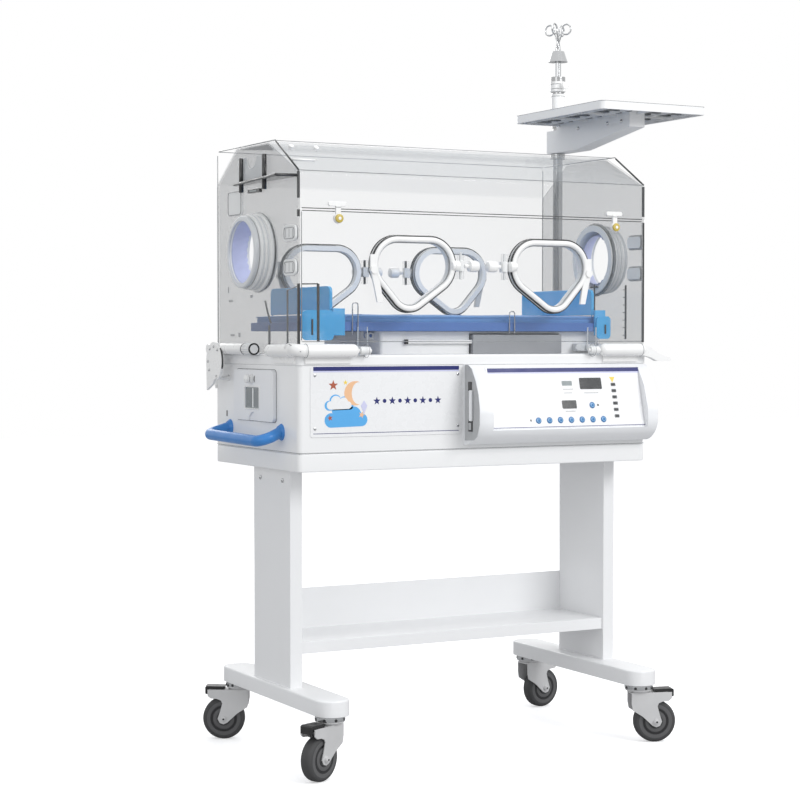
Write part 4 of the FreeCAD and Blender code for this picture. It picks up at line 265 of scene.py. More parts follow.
def bead(name, outline, place, radius, look, body):
    """A thin raised line along a closed outline that place(a, b) sets in the scene."""
    return sweep(name, [place(a, b) for a, b in outline], round_section(radius, 8), look, body)


# Materials, kept in M by name

M = {}

# Where most of a noise's values lie
NOISE_LOW, NOISE_HIGH = 0.3, 0.7


def add_node(tree, kind, values=()):
    """A shader node with some inputs set: values holds pairs of an input's name and its value."""
    node = tree.nodes.new(f"ShaderNode{kind}")
    for name, value in values:
        node.inputs[name].default_value = value
    return node


def start_material(name):
    """A new material: its tree, its shader and its coordinates."""
    material = bpy.data.materials.new(name)
    material.use_nodes = True
    tree = material.node_tree
    tree.nodes.clear()
    out = add_node(tree, "OutputMaterial")
    shader = add_node(tree, "BsdfPrincipled")
    tree.links.new(shader.outputs[0], out.inputs[0])
    M[name] = material
    return tree, shader, add_node(tree, "TexCoord")


def noise(tree, place, scale, detail=3.0, stretch=None):
    source = place.outputs["Object"]
    if stretch is not None:
        mapping = add_node(tree, "Mapping", [("Scale", stretch)])
        tree.links.new(source, mapping.inputs["Vector"])
        source = mapping.outputs["Vector"]
    cloud = add_node(tree, "TexNoise", [("Scale", scale), ("Detail", detail)])
    tree.links.new(source, cloud.inputs["Vector"])
    return cloud.outputs["Fac"]


def spread(tree, value, low, high, target):
    """Map a noise to a range and feed it to a socket."""
    reach = add_node(tree, "MapRange", [("From Min", NOISE_LOW), ("From Max", NOISE_HIGH),
                                        ("To Min", low), ("To Max", high)])
    tree.links.new(value, reach.inputs["Value"])
    tree.links.new(reach.outputs["Result"], target)


def tint(tree, value, dark, light, target):
    ramp = add_node(tree, "ValToRGB")
    places = (NOISE_LOW, NOISE_HIGH)
    for element, place, colour in zip(ramp.color_ramp.elements, places, (dark, light)):
        element.position = place
        element.color = (*colour, 1)
    tree.links.new(value, ramp.inputs["Fac"])
    tree.links.new(ramp.outputs["Color"], target)


def relief(tree, value, strength, depth, shader):
    bump = add_node(tree, "Bump", [("Strength", strength), ("Distance", depth)])
    tree.links.new(value, bump.inputs["Height"])
    tree.links.new(bump.outputs["Normal"], shader.inputs["Normal"])


def shade(colour, factor):
    return tuple(min(1.0, channel * factor) for channel in colour)


def solid(name, colour, rough=0.4, metal=0.0, coat=0.0, grain=900.0, depth=0.00004, bump=0.12,
          tone=0.03, rough_spread=0.06, stretch=None):
    """A painted, moulded or metal surface with fine texture, uneven tone and uneven gloss."""
    tree, shader, place = start_material(name)
    shader.inputs["Metallic"].default_value = metal
    shader.inputs["Coat Weight"].default_value = coat
    shader.inputs["Coat Roughness"].default_value = 0.12
    broad = noise(tree, place, 9.0, 4.0)
    tint(tree, broad, shade(colour, 1 - tone), shade(colour, 1 + tone * 0.5),
         shader.inputs["Base Color"])
    patch = noise(tree, place, 40.0, 5.0, stretch)
    spread(tree, patch, rough - rough_spread, rough + rough_spread, shader.inputs["Roughness"])
    relief(tree, noise(tree, place, grain, 2.0, stretch), bump, depth, shader)


def clear(name, colour, face_on, edge_on, rough=0.04, falloff=0.35):
    """Clear or tinted acrylic: see-through face on, more solid at a glancing angle."""
    tree, shader, place = start_material(name)
    broad = noise(tree, place, 6.0, 3.0)
    tint(tree, broad, shade(colour, 0.98), colour, shader.inputs["Base Color"])
    smear = noise(tree, place, 25.0, 4.0)
    spread(tree, smear, rough * 0.6, rough * 1.8, shader.inputs["Roughness"])
    weight = add_node(tree, "LayerWeight", [("Blend", falloff)])
    reach = add_node(tree, "MapRange", [("To Min", face_on), ("To Max", edge_on)])
    tree.links.new(weight.outputs["Facing"], reach.inputs["Value"])
    tree.links.new(reach.outputs["Result"], shader.inputs["Alpha"])


def woven(name, colour, tone=0.10, rough=0.78):
    """Coated bed cover: fine crossed threads over slow changes of tone."""
    tree, shader, place = start_material(name)
    shader.inputs["Sheen Weight"].default_value = 0.25
    waves = []
    for direction in ("X", "Y"):
        wave = add_node(tree, "TexWave", [("Scale", 250.0), ("Distortion", 0.6), ("Detail", 1.0)])
        wave.bands_direction = direction
        tree.links.new(place.outputs["Object"], wave.inputs["Vector"])
        waves.append(wave.outputs["Fac"])
    cross = add_node(tree, "Math")
    cross.operation = "MULTIPLY"
    for index, wave in enumerate(waves):
        tree.links.new(wave, cross.inputs[index])
    broad = noise(tree, place, 11.0, 4.0)
    tint(tree, broad, shade(colour, 1 - tone), shade(colour, 1 + tone), shader.inputs["Base Color"])
    spread(tree, noise(tree, place, 60.0), rough - 0.08, rough + 0.08, shader.inputs["Roughness"])
    relief(tree, cross.outputs[0], 0.35, 0.00012, shader)


solid("white_enamel", (0.88, 0.885, 0.89), 0.30, coat=0.25, grain=700, tone=0.006, rough_spread=0.02)
solid("leg_enamel", (0.87, 0.875, 0.885), 0.36, coat=0.2, grain=700, tone=0.006, rough_spread=0.02)
solid("deck_plastic", (0.88, 0.885, 0.89), 0.38, grain=1600, tone=0.006, rough_spread=0.03)
solid("housing", (0.85, 0.86, 0.88), 0.40, grain=2200, depth=0.00008, tone=0.015)
solid("white_plastic", (0.89, 0.89, 0.885), 0.30, coat=0.2, grain=1400, tone=0.02)
solid("film", (0.86, 0.865, 0.875), 0.28, coat=0.3, grain=2600, depth=0.00003, tone=0.01)
solid("navy", (0.012, 0.018, 0.15), 0.35, grain=1800, tone=0.06)
solid("lilac", (0.62, 0.63, 0.84), 0.35, grain=1800, tone=0.03)
solid("silicone", (0.82, 0.83, 0.83), 0.48, grain=1300, tone=0.02)
solid("iris_grey", (0.66, 0.68, 0.70), 0.36, coat=0.2, grain=1300, tone=0.03)
solid("handle_blue", (0.035, 0.22, 0.60), 0.40, coat=0.12, grain=500, tone=0.05)
solid("bed_blue", (0.065, 0.17, 0.48), 0.42, grain=1500, depth=0.0001, tone=0.06)
solid("steel", (0.40, 0.405, 0.41), 0.22, metal=1.0, grain=300, tone=0.05, stretch=(1, 1, 30))
solid("chrome", (0.55, 0.56, 0.57), 0.14, metal=1.0, grain=500, bump=0.03, tone=0.03, rough_spread=0.03)
solid("zinc", (0.66, 0.66, 0.665), 0.45, metal=0.3, grain=420, bump=0.25, tone=0.10, rough_spread=0.10)
solid("sheet_steel", (0.34, 0.35, 0.37), 0.42, metal=0.6, grain=500, tone=0.08, stretch=(20, 1, 1))
solid("tyre", (0.060, 0.060, 0.062), 0.72, grain=800, bump=0.4, depth=0.0002, tone=0.12)
solid("pedal", (0.012, 0.012, 0.013), 0.42, grain=1500, bump=0.3, tone=0.10)
solid("dark", (0.018, 0.018, 0.02), 0.45, grain=900, tone=0.08)
solid("edge_dark", (0.022, 0.023, 0.025), 0.22, coat=0.4, grain=900, tone=0.05)
solid("edge_grey", (0.30, 0.31, 0.32), 0.25, coat=0.4, grain=900, tone=0.05)
solid("display", (0.020, 0.023, 0.027), 0.14, coat=0.8, grain=2600, bump=0.02, tone=0.1)
solid("display_grey", (0.22, 0.26, 0.27), 0.22, coat=0.6, grain=2600, tone=0.05)
solid("key_blue", (0.020, 0.16, 0.42), 0.33, coat=0.2, grain=1800, tone=0.06)
solid("key_pale", (0.35, 0.62, 0.80), 0.35, grain=1800, tone=0.05)
solid("amber", (0.55, 0.42, 0.08), 0.32, coat=0.2, grain=1500, tone=0.08)
solid("yellow", (0.90, 0.66, 0.10), 0.40, grain=1500, tone=0.05)
solid("peach", (0.86, 0.52, 0.30), 0.45, grain=1800, tone=0.05)
solid("brick", (0.42, 0.10, 0.05), 0.45, grain=1800, tone=0.06)
solid("sky", (0.10, 0.42, 0.82), 0.40, grain=1800, tone=0.05)
solid("aluminium", (0.66, 0.67, 0.68), 0.34, metal=1.0, grain=500, tone=0.06)
clear("acrylic", (0.42, 0.45, 0.47), 0.03, 0.40, falloff=0.22)
clear("port_acrylic", (0.50, 0.53, 0.56), 0.03, 0.4, falloff=0.25)
clear("smoked", (0.05, 0.055, 0.06), 0.62, 0.97)
clear("blue_acrylic", (0.080, 0.50, 0.93), 0.72, 0.97, rough=0.10)
clear("water_tank", (0.60, 0.74, 0.82), 0.35, 0.8)
woven("cover", (0.115, 0.285, 0.61))
woven("sleeve", (0.56, 0.60, 0.84), tone=0.12, rough=0.6)
solid("wheel_grey", (0.105, 0.105, 0.108), 0.62, grain=900, bump=0.3, tone=0.08)
clear("holder_clear", (0.62, 0.64, 0.66), 0.45, 0.85)
clear("end_acrylic", (0.26, 0.27, 0.28), 0.17, 0.60, falloff=0.25)
# cheek_grey: the grey of the painted shade on the control housing's left side; the plug in its lower socket
# is this grey too
solid("cheek_grey", (0.47, 0.48, 0.49), 0.5, grain=1800, tone=0.06)
solid("tray_dark", (0.09, 0.10, 0.11), 0.45, grain=900, tone=0.08)

# Each CAD node's look and the width of its softened edges
CAD_LOOK = {
    "leg_left": ("leg_enamel", 1.2), "leg_right": ("leg_enamel", 1.2),
    "storage_shelf": ("leg_enamel", 0.8), "base_frame": ("white_enamel", 0.5),
    "cabinet_shell": ("white_enamel", 0.5), "deck": ("deck_plastic", 0.5),
    "front_fascia": ("film", 0.4), "push_handles": ("handle_blue", 0.4),
    "control_housing": ("housing", 1.6), "control_panel": ("film", 0.4),
    "service_panel": ("housing", 0.8), "air_heater": ("steel", 0.3),
    "fan_motor": ("aluminium", 0.8), "fan_impeller": ("aluminium", 0.4),
    "water_drawer": ("housing", 1.0), "water_tank": ("water_tank", 0.8),
    "drawer_knob": ("white_plastic", 1.0), "hinge_brackets": ("white_plastic", 0.8),
    "hood_hinge_arms": ("white_plastic", 1.0), "mast": ("steel", 0.6),
    "infusion_rod": ("chrome", 0.4), "equipment_tray": ("white_enamel", 1.0),
    "tray_arm": ("white_enamel", 2.5), "bed_platform": ("deck_plastic", 1.0),
    "cassette_drawer": ("sheet_steel", 0.6), "bed_tray": ("bed_blue", 1.2),
    "bed_end_panels": ("blue_acrylic", 1.2), "hood_shell": ("acrylic", 0.8),
    "end_panels": ("end_acrylic", 0.8), "tube_grommets": ("silicone", 1.2),
    "hood_port_frames": ("silicone", 1.0), "iris_ring_left": ("iris_grey", 1.0),
    "iris_ring_right": ("iris_grey", 1.0), "tubing_holder": ("smoked", 0.5),
    "front_door": ("acrylic", 0.6), "front_port_frames": ("silicone", 1.0),
    "door_latch_left": ("white_plastic", 0.8), "door_latch_right": ("white_plastic", 0.8),
}
for corner in ("front_left", "front_right", "rear_left", "rear_right"):
    CAD_LOOK[f"port_door_{corner}"] = ("port_acrylic", 0.8)
    CAD_LOOK[f"port_latch_{corner}"] = ("white_plastic", 1.0)
    CAD_LOOK[f"castor_fork_{corner}"] = ("zinc", 0.6)
    CAD_LOOK[f"castor_wheel_{corner}"] = ("tyre", 0.6)
    CAD_LOOK[f"castor_pedal_{corner}"] = ("pedal", 1.0)

# Between these heights a front port frame is its clear hinge leaf
HINGE_LEAF = (948.0, 990.0)
CAD_WELD = 0.00001
CAD_FLAT_ANGLE = 0.4
CAD_EDGE_ANGLE = 28


def dress_cad():
    """Each CAD node but the mattress gets its finish and softened edges; its own vertices stay."""
    for node, (look, edge) in CAD_LOOK.items():
        piece = NODES[node]
        mesh = piece.data
        mesh.materials.clear()
        mesh.materials.append(M[look])
        for polygon in mesh.polygons:
            polygon.material_index = 0
            polygon.use_smooth = True
        if node == "front_port_frames":
            mesh.materials.append(M["port_acrylic"])
            for polygon in mesh.polygons:
                if HINGE_LEAF[0] < polygon.center.z / MM < HINGE_LEAF[1]:
                    polygon.material_index = 1
        if mesh.has_custom_normals:
            bpy.context.view_layer.objects.active = piece
            bpy.ops.mesh.customdata_custom_splitnormals_clear()
        weld = piece.modifiers.new("Weld", "WELD")
        weld.merge_threshold = CAD_WELD
        flat = piece.modifiers.new("Flat", "DECIMATE")
        flat.decimate_type = "DISSOLVE"
        flat.angle_limit = math.radians(CAD_FLAT_ANGLE)
        bevel(piece, edge, 2, CAD_EDGE_ANGLE)


# Port outline, the same three-cornered egg as the CAD's

EGG_HALF, EGG_RISE, EGG_ROUND = 42.0, 20.0, 65.0
EGG_LEAN, EGG_DROP, EGG_LOW = 12.0, 33.0, 52.0


def egg_outline(side, grow):
    """Points round the port outline about its centre, grown by a margin."""
    circles = [(side * EGG_LEAN, -EGG_DROP, EGG_LOW + grow),
               (EGG_HALF, EGG_RISE, EGG_ROUND + grow),
               (-EGG_HALF, EGG_RISE, EGG_ROUND + grow)]
    leave = []
    for index in range(3):
        x0, z0, r0 = circles[index]
        x1, z1, r1 = circles[(index + 1) % 3]
        reach = math.hypot(x1 - x0, z1 - z0)
        leave.append(math.atan2(z1 - z0, x1 - x0) - math.acos((r0 - r1) / reach))
    points = []
    for index, (x, z, radius) in enumerate(circles):
        start, finish = leave[index - 1], leave[index]
        while finish < start:
            finish += 2 * math.pi
        for step in range(EGG_STEPS + 1):
            angle = start + (finish - start) * step / EGG_STEPS
            points.append((x + radius * math.cos(angle), z + radius * math.sin(angle)))
    return points


PORTS = (("front_left", DOOR_FACE, -1, -1), ("front_right", DOOR_FACE, -1, 1),
         ("rear_left", HOOD_BACK, 1, -1), ("rear_right", HOOD_BACK, 1, 1))
PORT_FACE = 12.3
HINGE_X = 58.0
HINGE_Z = PORT_Z + 20.0
HINGE_OUT = 9.3
ARM_START = 8.0
ARM_OUT = 6.5
POST_START = 10.0
PORT_ARM = [(9.0, 0), (12.0, 2), (12.0, 12), (10.5, 14), (10.5, 18), (9.0, 20)]
PORT_POST = [(4.0, 0), (4.5, 1), (4.5, 9.6), (8.0, 10.6), (12.5, 13), (13.0, 20), (13.0, 30),
             (11.0, 35), (6.0, 37)]


def mirrored(profile, side):
    """A lathe profile as it is, or turned to run the other way."""
    if side > 0:
        return profile
    return [(radius, -along) for radius, along in reversed(profile)]


def dress_ports():
    for name, face, way, side in PORTS:
        frame_body = "door" if way < 0 else "hood"
        body = f"port_{name}"
        for part, grow, out, section, look, rider in (
                ("bead", -8.0, PORT_FACE + 2.0, round_section(6.2, 16, 0.8), "white_plastic", body),
                ("seal", -0.6, PORT_FACE + 0.8, round_section(2.1, 8), "edge_dark", body),
                ("lip", -15.5, PORT_FACE - 0.75, round_section(0.95, 8), "edge_grey", body),
                ("frame_line", 0.6, 1.0, round_section(1.5, 8), "edge_dark", frame_body)):
            path = [spot(side * PORT_X + a, face + way * out, PORT_Z + b)
                    for a, b in egg_outline(side, grow)]
            sweep(f"port_{part}_{name}", path, section, look, rider)
        out = face + way * HINGE_OUT
        lathe(f"port_arm_{name}", mirrored(PORT_ARM, side),
              (side * (HINGE_X + ARM_START), out + way * ARM_OUT, HINGE_Z), "x",
              "white_plastic", body, 48)
        lathe(f"port_post_{name}", mirrored(PORT_POST, -side),
              (side * (HINGE_X - POST_START), out, HINGE_Z), "x", "white_plastic", frame_body, 48)


# Printed and moulded detail

FACE_POINT = Vector((0.0, -206.0, 893.0))
FACE_OUT = Vector((0.0, -0.973, 0.231))
FACE_DOWN = Vector((0.0, -0.231, -0.973))
FACE_TURN = Matrix(((1, 0, 0), (0, 0.231, -0.973), (0, 0.973, 0.231)))
FRONT_TURN = Matrix(((1, 0, 0), (0, 0, -1), (0, 1, 0)))
LEFT_TURN = Matrix(((0, 0, -1), (-1, 0, 0), (0, 1, 0)))
PANEL_THICK = 1.5
FASCIA_FACE = -195.5


def on_panel(x, down, out):
    """A place on the control panel: x, the distance down its slope and out from it."""
    return (FACE_POINT + FACE_OUT * (PANEL_THICK + out) + FACE_DOWN * down + Vector((x, 0, 0))) * MM


def on_fascia(x, z, out):
    return spot(x, FASCIA_FACE - out, z)


def sticker(name, outline, place, look, body, low=-0.3, high=0.25, edge=0.1):
    """A thin printed or moulded shape on a surface that place(a, b, out) describes."""
    return plate(name, outline, lambda a, b, out: place(a, b, low + out), high - low, look, body,
                 edge)


def star(centre, radius, points=5, inner=0.42, turn=90.0):
    shape = []
    for index in range(2 * points):
        reach = radius if index % 2 == 0 else radius * inner
        angle = math.radians(turn + 180 * index / points)
        shape.append((centre[0] + reach * math.cos(angle), centre[1] + reach * math.sin(angle)))
    return shape


def crescent(centre, radius):
    """A moon: the outer arc one way round, then a flatter arc back."""
    shape = []
    for step in range(MOON_STEPS + 1):
        angle = math.radians(70 + 220 * step / MOON_STEPS)
        shape.append((centre[0] + radius * math.cos(angle), centre[1] + radius * math.sin(angle)))
    for step in range(1, MOON_STEPS):
        angle = math.radians(290 - 220 * step / MOON_STEPS)
        shape.append((centre[0] + radius * (0.30 + 0.62 * math.cos(angle)),
                      centre[1] + radius * 0.90 * math.sin(angle)))
    return shape


def cloud(centre, scale):
    """A cloud with a flat underside, as one outline."""
    shape = []
    for x, z, radius, start, finish in ((-1.4, 0.0, 0.62, 270, 75), (-0.5, 0.55, 0.85, 170, 40),
                                        (0.75, 0.45, 0.70, 140, 20), (1.5, 0.0, 0.55, 90, -90)):
        for step in range(13):
            angle = math.radians(start + (finish - start) * step / 12)
            shape.append((centre[0] + scale * (x + radius * math.cos(angle)),
                          centre[1] + scale * (z + radius * math.sin(angle))))
    return shape


# Name, span in x, span down the panel, corner radius, look and how far it stands out
PANEL_SHAPES = (
    ("stripe", (9, 429), (3, 12.7), 1.5, "navy", 0.25),
    ("band", (9, 429), (12.9, 16.2), 0.8, "lilac", 0.2),
    ("line", (8, 431), (141.4, 142.9), 0.5, "navy", 0.2),
    ("rim_small", (204, 237.5), (31.7, 48.3), 3.0, "film", 0.45),
    ("small", (206.5, 235), (34.2, 45.8), 2.0, "display_grey", 0.6),
    ("rim_main", (252.7, 320.6), (24.4, 57.9), 4.0, "film", 0.5),
    ("main", (255.7, 317.6), (27.4, 54.9), 3.0, "display", 0.7),
    ("rim_third", (197.7, 243.4), (77.8, 103.3), 3.5, "film", 0.5),
    ("third", (200.5, 240.6), (80.6, 100.5), 2.5, "display", 0.7),
    ("rule_a", (208, 237), (53.4, 54.8), 0.6, "edge_grey", 0.2),
    ("rule_b", (210, 233), (62.3, 63.7), 0.6, "edge_grey", 0.2),
    ("rule_c", (266, 306), (62.9, 64.3), 0.6, "edge_grey", 0.2),
    ("rule_d", (208, 236), (105.9, 107.3), 0.6, "edge_grey", 0.2),
)
MARK_X = 350.5
MARKS_DOWN = (44.3, 59.2, 74.4, 89.3, 104.5, 120.0)
KEY_PLACES = [(131.0 + 30.0 * index, 127.0) for index in range(7)] + [(284.0, 93.0)]
KEY_PARTS = (
    ("key", [(7.2, -0.3), (7.2, 0.7), (6.7, 1.35), (5.6, 1.7), (0.4, 1.8)], "key_blue", 36),
    ("key_ring", [(4.6, 1.5), (4.6, 1.95), (3.7, 1.95), (3.7, 1.5), (4.6, 1.5)], "key_pale", 32),
    ("key_seat", [(8.6, -0.3), (8.6, 0.25), (7.3, 0.35), (7.3, -0.3), (8.6, -0.3)], "iris_grey", 36),
)


def dress_panel():
    for name, x, down, radius, look, high in PANEL_SHAPES:
        sticker(f"panel_{name}", round_box(x, down, radius), on_panel, look, "stand", high=high)
    for index, down in enumerate(MARKS_DOWN):
        for part, wide, tall, radius, look, high in (("lamp_rim", 7, 4.2, 2.0, "edge_grey", 0.3),
                                                     ("lamp", 5.6, 2.9, 1.4, "display", 0.6)):
            outline = round_box((MARK_X - wide, MARK_X + wide), (down - tall, down + tall), radius)
            sticker(f"panel_{part}_{index}", outline, on_panel, look, "stand", high=high)
    sticker("panel_warning", star((349.4, 30.5), 9.0, 3, 0.5), on_panel, "yellow", "stand", high=0.35)
    for index, (x, down) in enumerate(KEY_PLACES):
        centre = FACE_POINT + FACE_OUT * PANEL_THICK + FACE_DOWN * down + Vector((x, 0, 0))
        for part, profile, look, steps in KEY_PARTS:
            lathe(f"panel_{part}_{index}", profile, centre, FACE_TURN, look, "stand", steps)
    for index, place in enumerate(((110.4, 126.3), (300.5, 93.0))):
        sticker(f"panel_dot_{index}", disc(place, 2.6, 20), on_panel, "display", "stand", high=0.4)


# Name, outline, look and height of each flat shape on the fascia: a night sky, with no lettering
FASCIA_SHAPES = (
    ("stripe", round_box((-425, -57), (888, 897), 1.5), "navy", 0.25),
    ("band", round_box((-425, -57), (884.6, 887.8), 0.8), "lilac", 0.2),
    ("line", round_box((-425, -57), (749.4, 750.8), 0.5), "navy", 0.2),
    ("hill", cloud((-345, 779), 26), "sky", 0.3),
    ("moon", crescent((-322, 838), 27), "peach", 0.35),
    ("cloud", cloud((-362, 812), 15), "film", 0.55),
    ("cloud_rim", cloud((-362, 811.4), 17.5), "sky", 0.3),
    ("star_brick", star((-376, 856), 12), "brick", 0.35),
    ("star_peach", star((-306, 790), 8, turn=70), "peach", 0.55),
    ("star_small", star((-346, 862), 6), "yellow", 0.35),
    ("star_low", star((-384, 784), 7, turn=100), "brick", 0.55),
    ("kite", [(-300, 822), (-292, 810), (-300, 792), (-308, 810)], "lilac", 0.6),
)


def dress_fascia():
    for name, outline, look, high in FASCIA_SHAPES:
        sticker(f"fascia_{name}", outline, on_fascia, look, "stand", high=high)
    for index in range(9):
        x = -268 + 19.5 * index
        shape = star((x, 820), 9.5) if index % 2 == 0 else disc((x, 820), 4.6, 24)
        sticker(f"fascia_row_{index}", shape, on_fascia, "navy", "stand")
    for index, (x, z) in enumerate(((-421, 761), (-60, 761), (-421, 878), (-60, 878))):
        lathe(f"fascia_screw_{index}", [(3.4, -0.3), (3.4, 0.8), (2.4, 1.3), (0.5, 1.4)],
              (x, FASCIA_FACE, z), FRONT_TURN, "chrome", "stand", 24)


# The bed

MATTRESS_VOXEL = 0.005
MATTRESS_CAP = 0.006
MATTRESS_PRESSURE = 4.0
MATTRESS_DROP = 4.0
MATTRESS_FRAMES = 20
CROWN_POWER = 6
RIPPLE = 0.8
RIPPLE_ALONG = 31.0
RIPPLE_ACROSS = 23.0
SIDE_MARGIN = 0.4
FOOT_MARGIN = 0.2


def make_mattress():
    """A padded mattress: the CAD's block with its top lowered, inflated as cloth and kept within its
    sides. The upper half's height is then set by a formula: a crown with a slight ripple."""
    low, high = corners("mattress")
    piece = add_object("mattress_cover", NODES["mattress"].data.copy())
    for vertex in piece.data.vertices:
        if vertex.co.z > (high.z - MATTRESS_DROP) * MM:
            vertex.co.z -= MATTRESS_DROP * MM
    grid = piece.modifiers.new("Grid", "REMESH")
    grid.mode = "VOXEL"
    grid.voxel_size = MATTRESS_VOXEL
    settle(piece)
    start = [vertex.co.copy() for vertex in piece.data.vertices]
    cloth = piece.modifiers.new("Cloth", "CLOTH")
    cloth.settings.use_pressure = True
    cloth.settings.uniform_pressure_force = MATTRESS_PRESSURE
    cloth.settings.effector_weights.gravity = 0.0
    cloth.settings.quality = 5
    for step in range(1, MATTRESS_FRAMES + 1):
        bpy.context.scene.frame_set(step)
    settle(piece)
    bpy.context.scene.frame_set(1)
    mesh = piece.data
    middle = (low + high) / 2
    for vertex, home in zip(mesh.vertices, start):
        shift = vertex.co - home
        if shift.length > MATTRESS_CAP:
            vertex.co = home + shift * (MATTRESS_CAP / shift.length)
        across = max(abs(home.x / MM - middle.x) / (high.x - middle.x),
                     abs(home.y / MM - middle.y) / (high.y - middle.y))
        crown = 1.0 - min(1.0, across) ** CROWN_POWER
        if home.z > middle.z * MM:
            ripple = math.sin(home.x * RIPPLE_ALONG) * math.sin(home.y * RIPPLE_ACROSS + 0.7)
            vertex.co.z = home.z + (MATTRESS_DROP * crown + RIPPLE * ripple * crown) * MM
        vertex.co.x = min(max(vertex.co.x, (low.x + SIDE_MARGIN) * MM), (high.x - SIDE_MARGIN) * MM)
        vertex.co.y = min(max(vertex.co.y, (low.y + SIDE_MARGIN) * MM), (high.y - SIDE_MARGIN) * MM)
        vertex.co.z = max(vertex.co.z, (low.z + FOOT_MARGIN) * MM)
    mesh.materials.clear()
    mesh.materials.append(M["cover"])
    for polygon in mesh.polygons:
        polygon.use_smooth = True
    smoother = piece.modifiers.new("Smooth", "SUBSURF")
    smoother.levels = 1
    smoother.render_levels = 1
    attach(piece, "bed")
    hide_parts("mattress")
    inset = 6.0
    rim = [(low.x + inset, low.y + inset), (high.x - inset, low.y + inset),
           (high.x - inset, high.y - inset), (low.x + inset, high.y - inset)]
    out = 4.2
    for name, height in (("top", high.z - 5.5), ("foot", low.z + 6.0)):
        points = [(x + math.copysign(out, x - middle.x), y + math.copysign(out, y - middle.y), height)
                  for x, y in rim]
        wire(f"mattress_piping_{name}", points, 1.5, "cover", "bed", 22.0, closed=True, steps=8)
    for index in range(5):
        x = low.x + (high.x - low.x) * (index + 1) / 6
        wire(f"mattress_stitch_{index}",
             [(x, low.y + 22, high.z - 0.4), (x, middle.y, high.z + 0.5), (x, high.y - 22, high.z - 0.4)],
             0.5, "bed_blue", "bed", 60.0, steps=6)


def settle(piece):
    """Apply a piece's modifiers, so that none is left on it."""
    graph = bpy.context.evaluated_depsgraph_get()
    graph.update()
    fresh = bpy.data.meshes.new_from_object(piece.evaluated_get(graph))
    piece.modifiers.clear()
    piece.data = fresh


def dress_bed():
    """Guard flaps with clips, guard rims, wire hooks, and the rail and bracket at the bed's front."""
    flaps = (("left", (-428, -350), (955, 1022)), ("right", (352, 392), (958, 1012)))
    for side, x, z in flaps:
        plate(f"guard_flap_{side}", round_box(x, z, 10), lambda a, b, out: spot(a, -147 + out, b), 3.6,
              "blue_acrylic", "bed", 0.6)
        slab(f"guard_clip_{side}", (x[0] + 22, x[0] + 26), (-149, -147), (z[0] + 12, z[1] - 20),
             "edge_dark", "bed", 0.6)
    for way in (-1, 1):
        x = way * 350.0
        wire(f"guard_rim_{way}", [(x, -128, 1010), (x, -128, 1070), (x, 180, 1070), (x, 180, 1010)],
             1.6, "sky", "bed", 14.0)
    for side, x, low, high in (("left", -300, 968, 1039), ("right", 112, 970, 1022)):
        hook = [(x, -139, low), (x, -139, high), (x + 14, -139, high), (x + 14, -139, low)]
        wire(f"bed_wire_{side}", hook, 1.4, "chrome", "bed", 6.0)
    slab("bed_rail", (-151, 235), (-122, -113), (947, 956), "white_plastic", "stand", 2.0)
    for x in (-155, 235):
        slab(f"bed_rail_cap_{x}", (x, x + 7), (-123, -113), (946, 957), "dark", "stand", 1.5)
    slab("bed_bracket", (304, 374), (-128, -114), (929, 947), "iris_grey", "stand", 2.0)
    for x in (308, 339, 370):
        lathe(f"bed_bracket_knob_{x}", [(7.5, 0), (8.5, 1.5), (8.5, 6), (7.0, 8), (2.0, 8.6)],
              (x, -128, 938), FRONT_TURN, "iris_grey", "stand", 32)


# Iris ports at the two ends

SLEEVE_STEPS = 72
SLEEVE_ROWS = 12
SLEEVE_FOLDS = 24
SLEEVE_TWIST = 0.35


def dress_iris():
    for way, side in SIDES:
        ring_body = f"ring_{side}"

        def at(out):
            return way * (HOOD_END + out)

        centre = (at(0.0), IRIS_Y, IRIS_Z)

        def band(name, profile, look, body):
            ring_band(f"iris_{name}_{side}", [(radius, way * along) for radius, along in profile],
                      centre, "x", look, body)

        band("flange_line", square(89.6, 91.0, 0.2, 1.6), "edge_grey", "hood")
        band("flange_step", [(84.0, 6.0), (87.5, 6.0), (87.0, 8.0), (84.0, 8.4)], "white_plastic", "hood")
        for index in range(4):
            low = 11.0 + 5.0 * index
            band(f"rib_{index}", [(83.8, low), (85.0, low + 0.8), (85.0, low + 2.4), (83.8, low + 3.2)],
                 "white_plastic" if index % 2 else "iris_grey", "hood")
        band("groove", square(77.0, 79.6, 32.2, 33.9), "dark", "hood")
        band("seal", square(71.2, 73.5, 30.0, 41.5), "dark", "hood")
        work = bmesh.new()
        rows = []
        for row in range(SLEEVE_ROWS + 1):
            part = row / SLEEVE_ROWS
            line = []
            for step in range(SLEEVE_STEPS):
                angle = 2 * math.pi * step / SLEEVE_STEPS
                twist = angle + SLEEVE_TWIST * part
                fold = math.sin(SLEEVE_FOLDS * angle) * 2.4 * part
                radius = 70.6 - 11.0 * part ** 1.4 + fold * 0.5
                out = 36.0 - 34.0 * part + fold * 0.4
                line.append(work.verts.new(spot(at(out), IRIS_Y + radius * math.cos(twist),
                                                IRIS_Z + radius * math.sin(twist))))
            rows.append(line)
        for outer, inner in zip(rows, rows[1:]):
            stitch(work, outer, inner)
        sleeve = finished(f"iris_sleeve_{side}", work, "sleeve", "hood")
        thick = sleeve.modifiers.new("Thick", "SOLIDIFY")
        thick.thickness = 0.5 * MM
        band("ring_grip", [(80.6, 36.5), (81.8, 37.2), (81.8, 41.8), (80.6, 42.5)], "iris_grey",
             ring_body)


def front_edge(name, x, y, z, look, body, wide=2.6, deep=2.6):
    slab(name, (x - wide / 2, x + wide / 2), (y - deep / 2, y + deep / 2), z, look, body, 0.6)


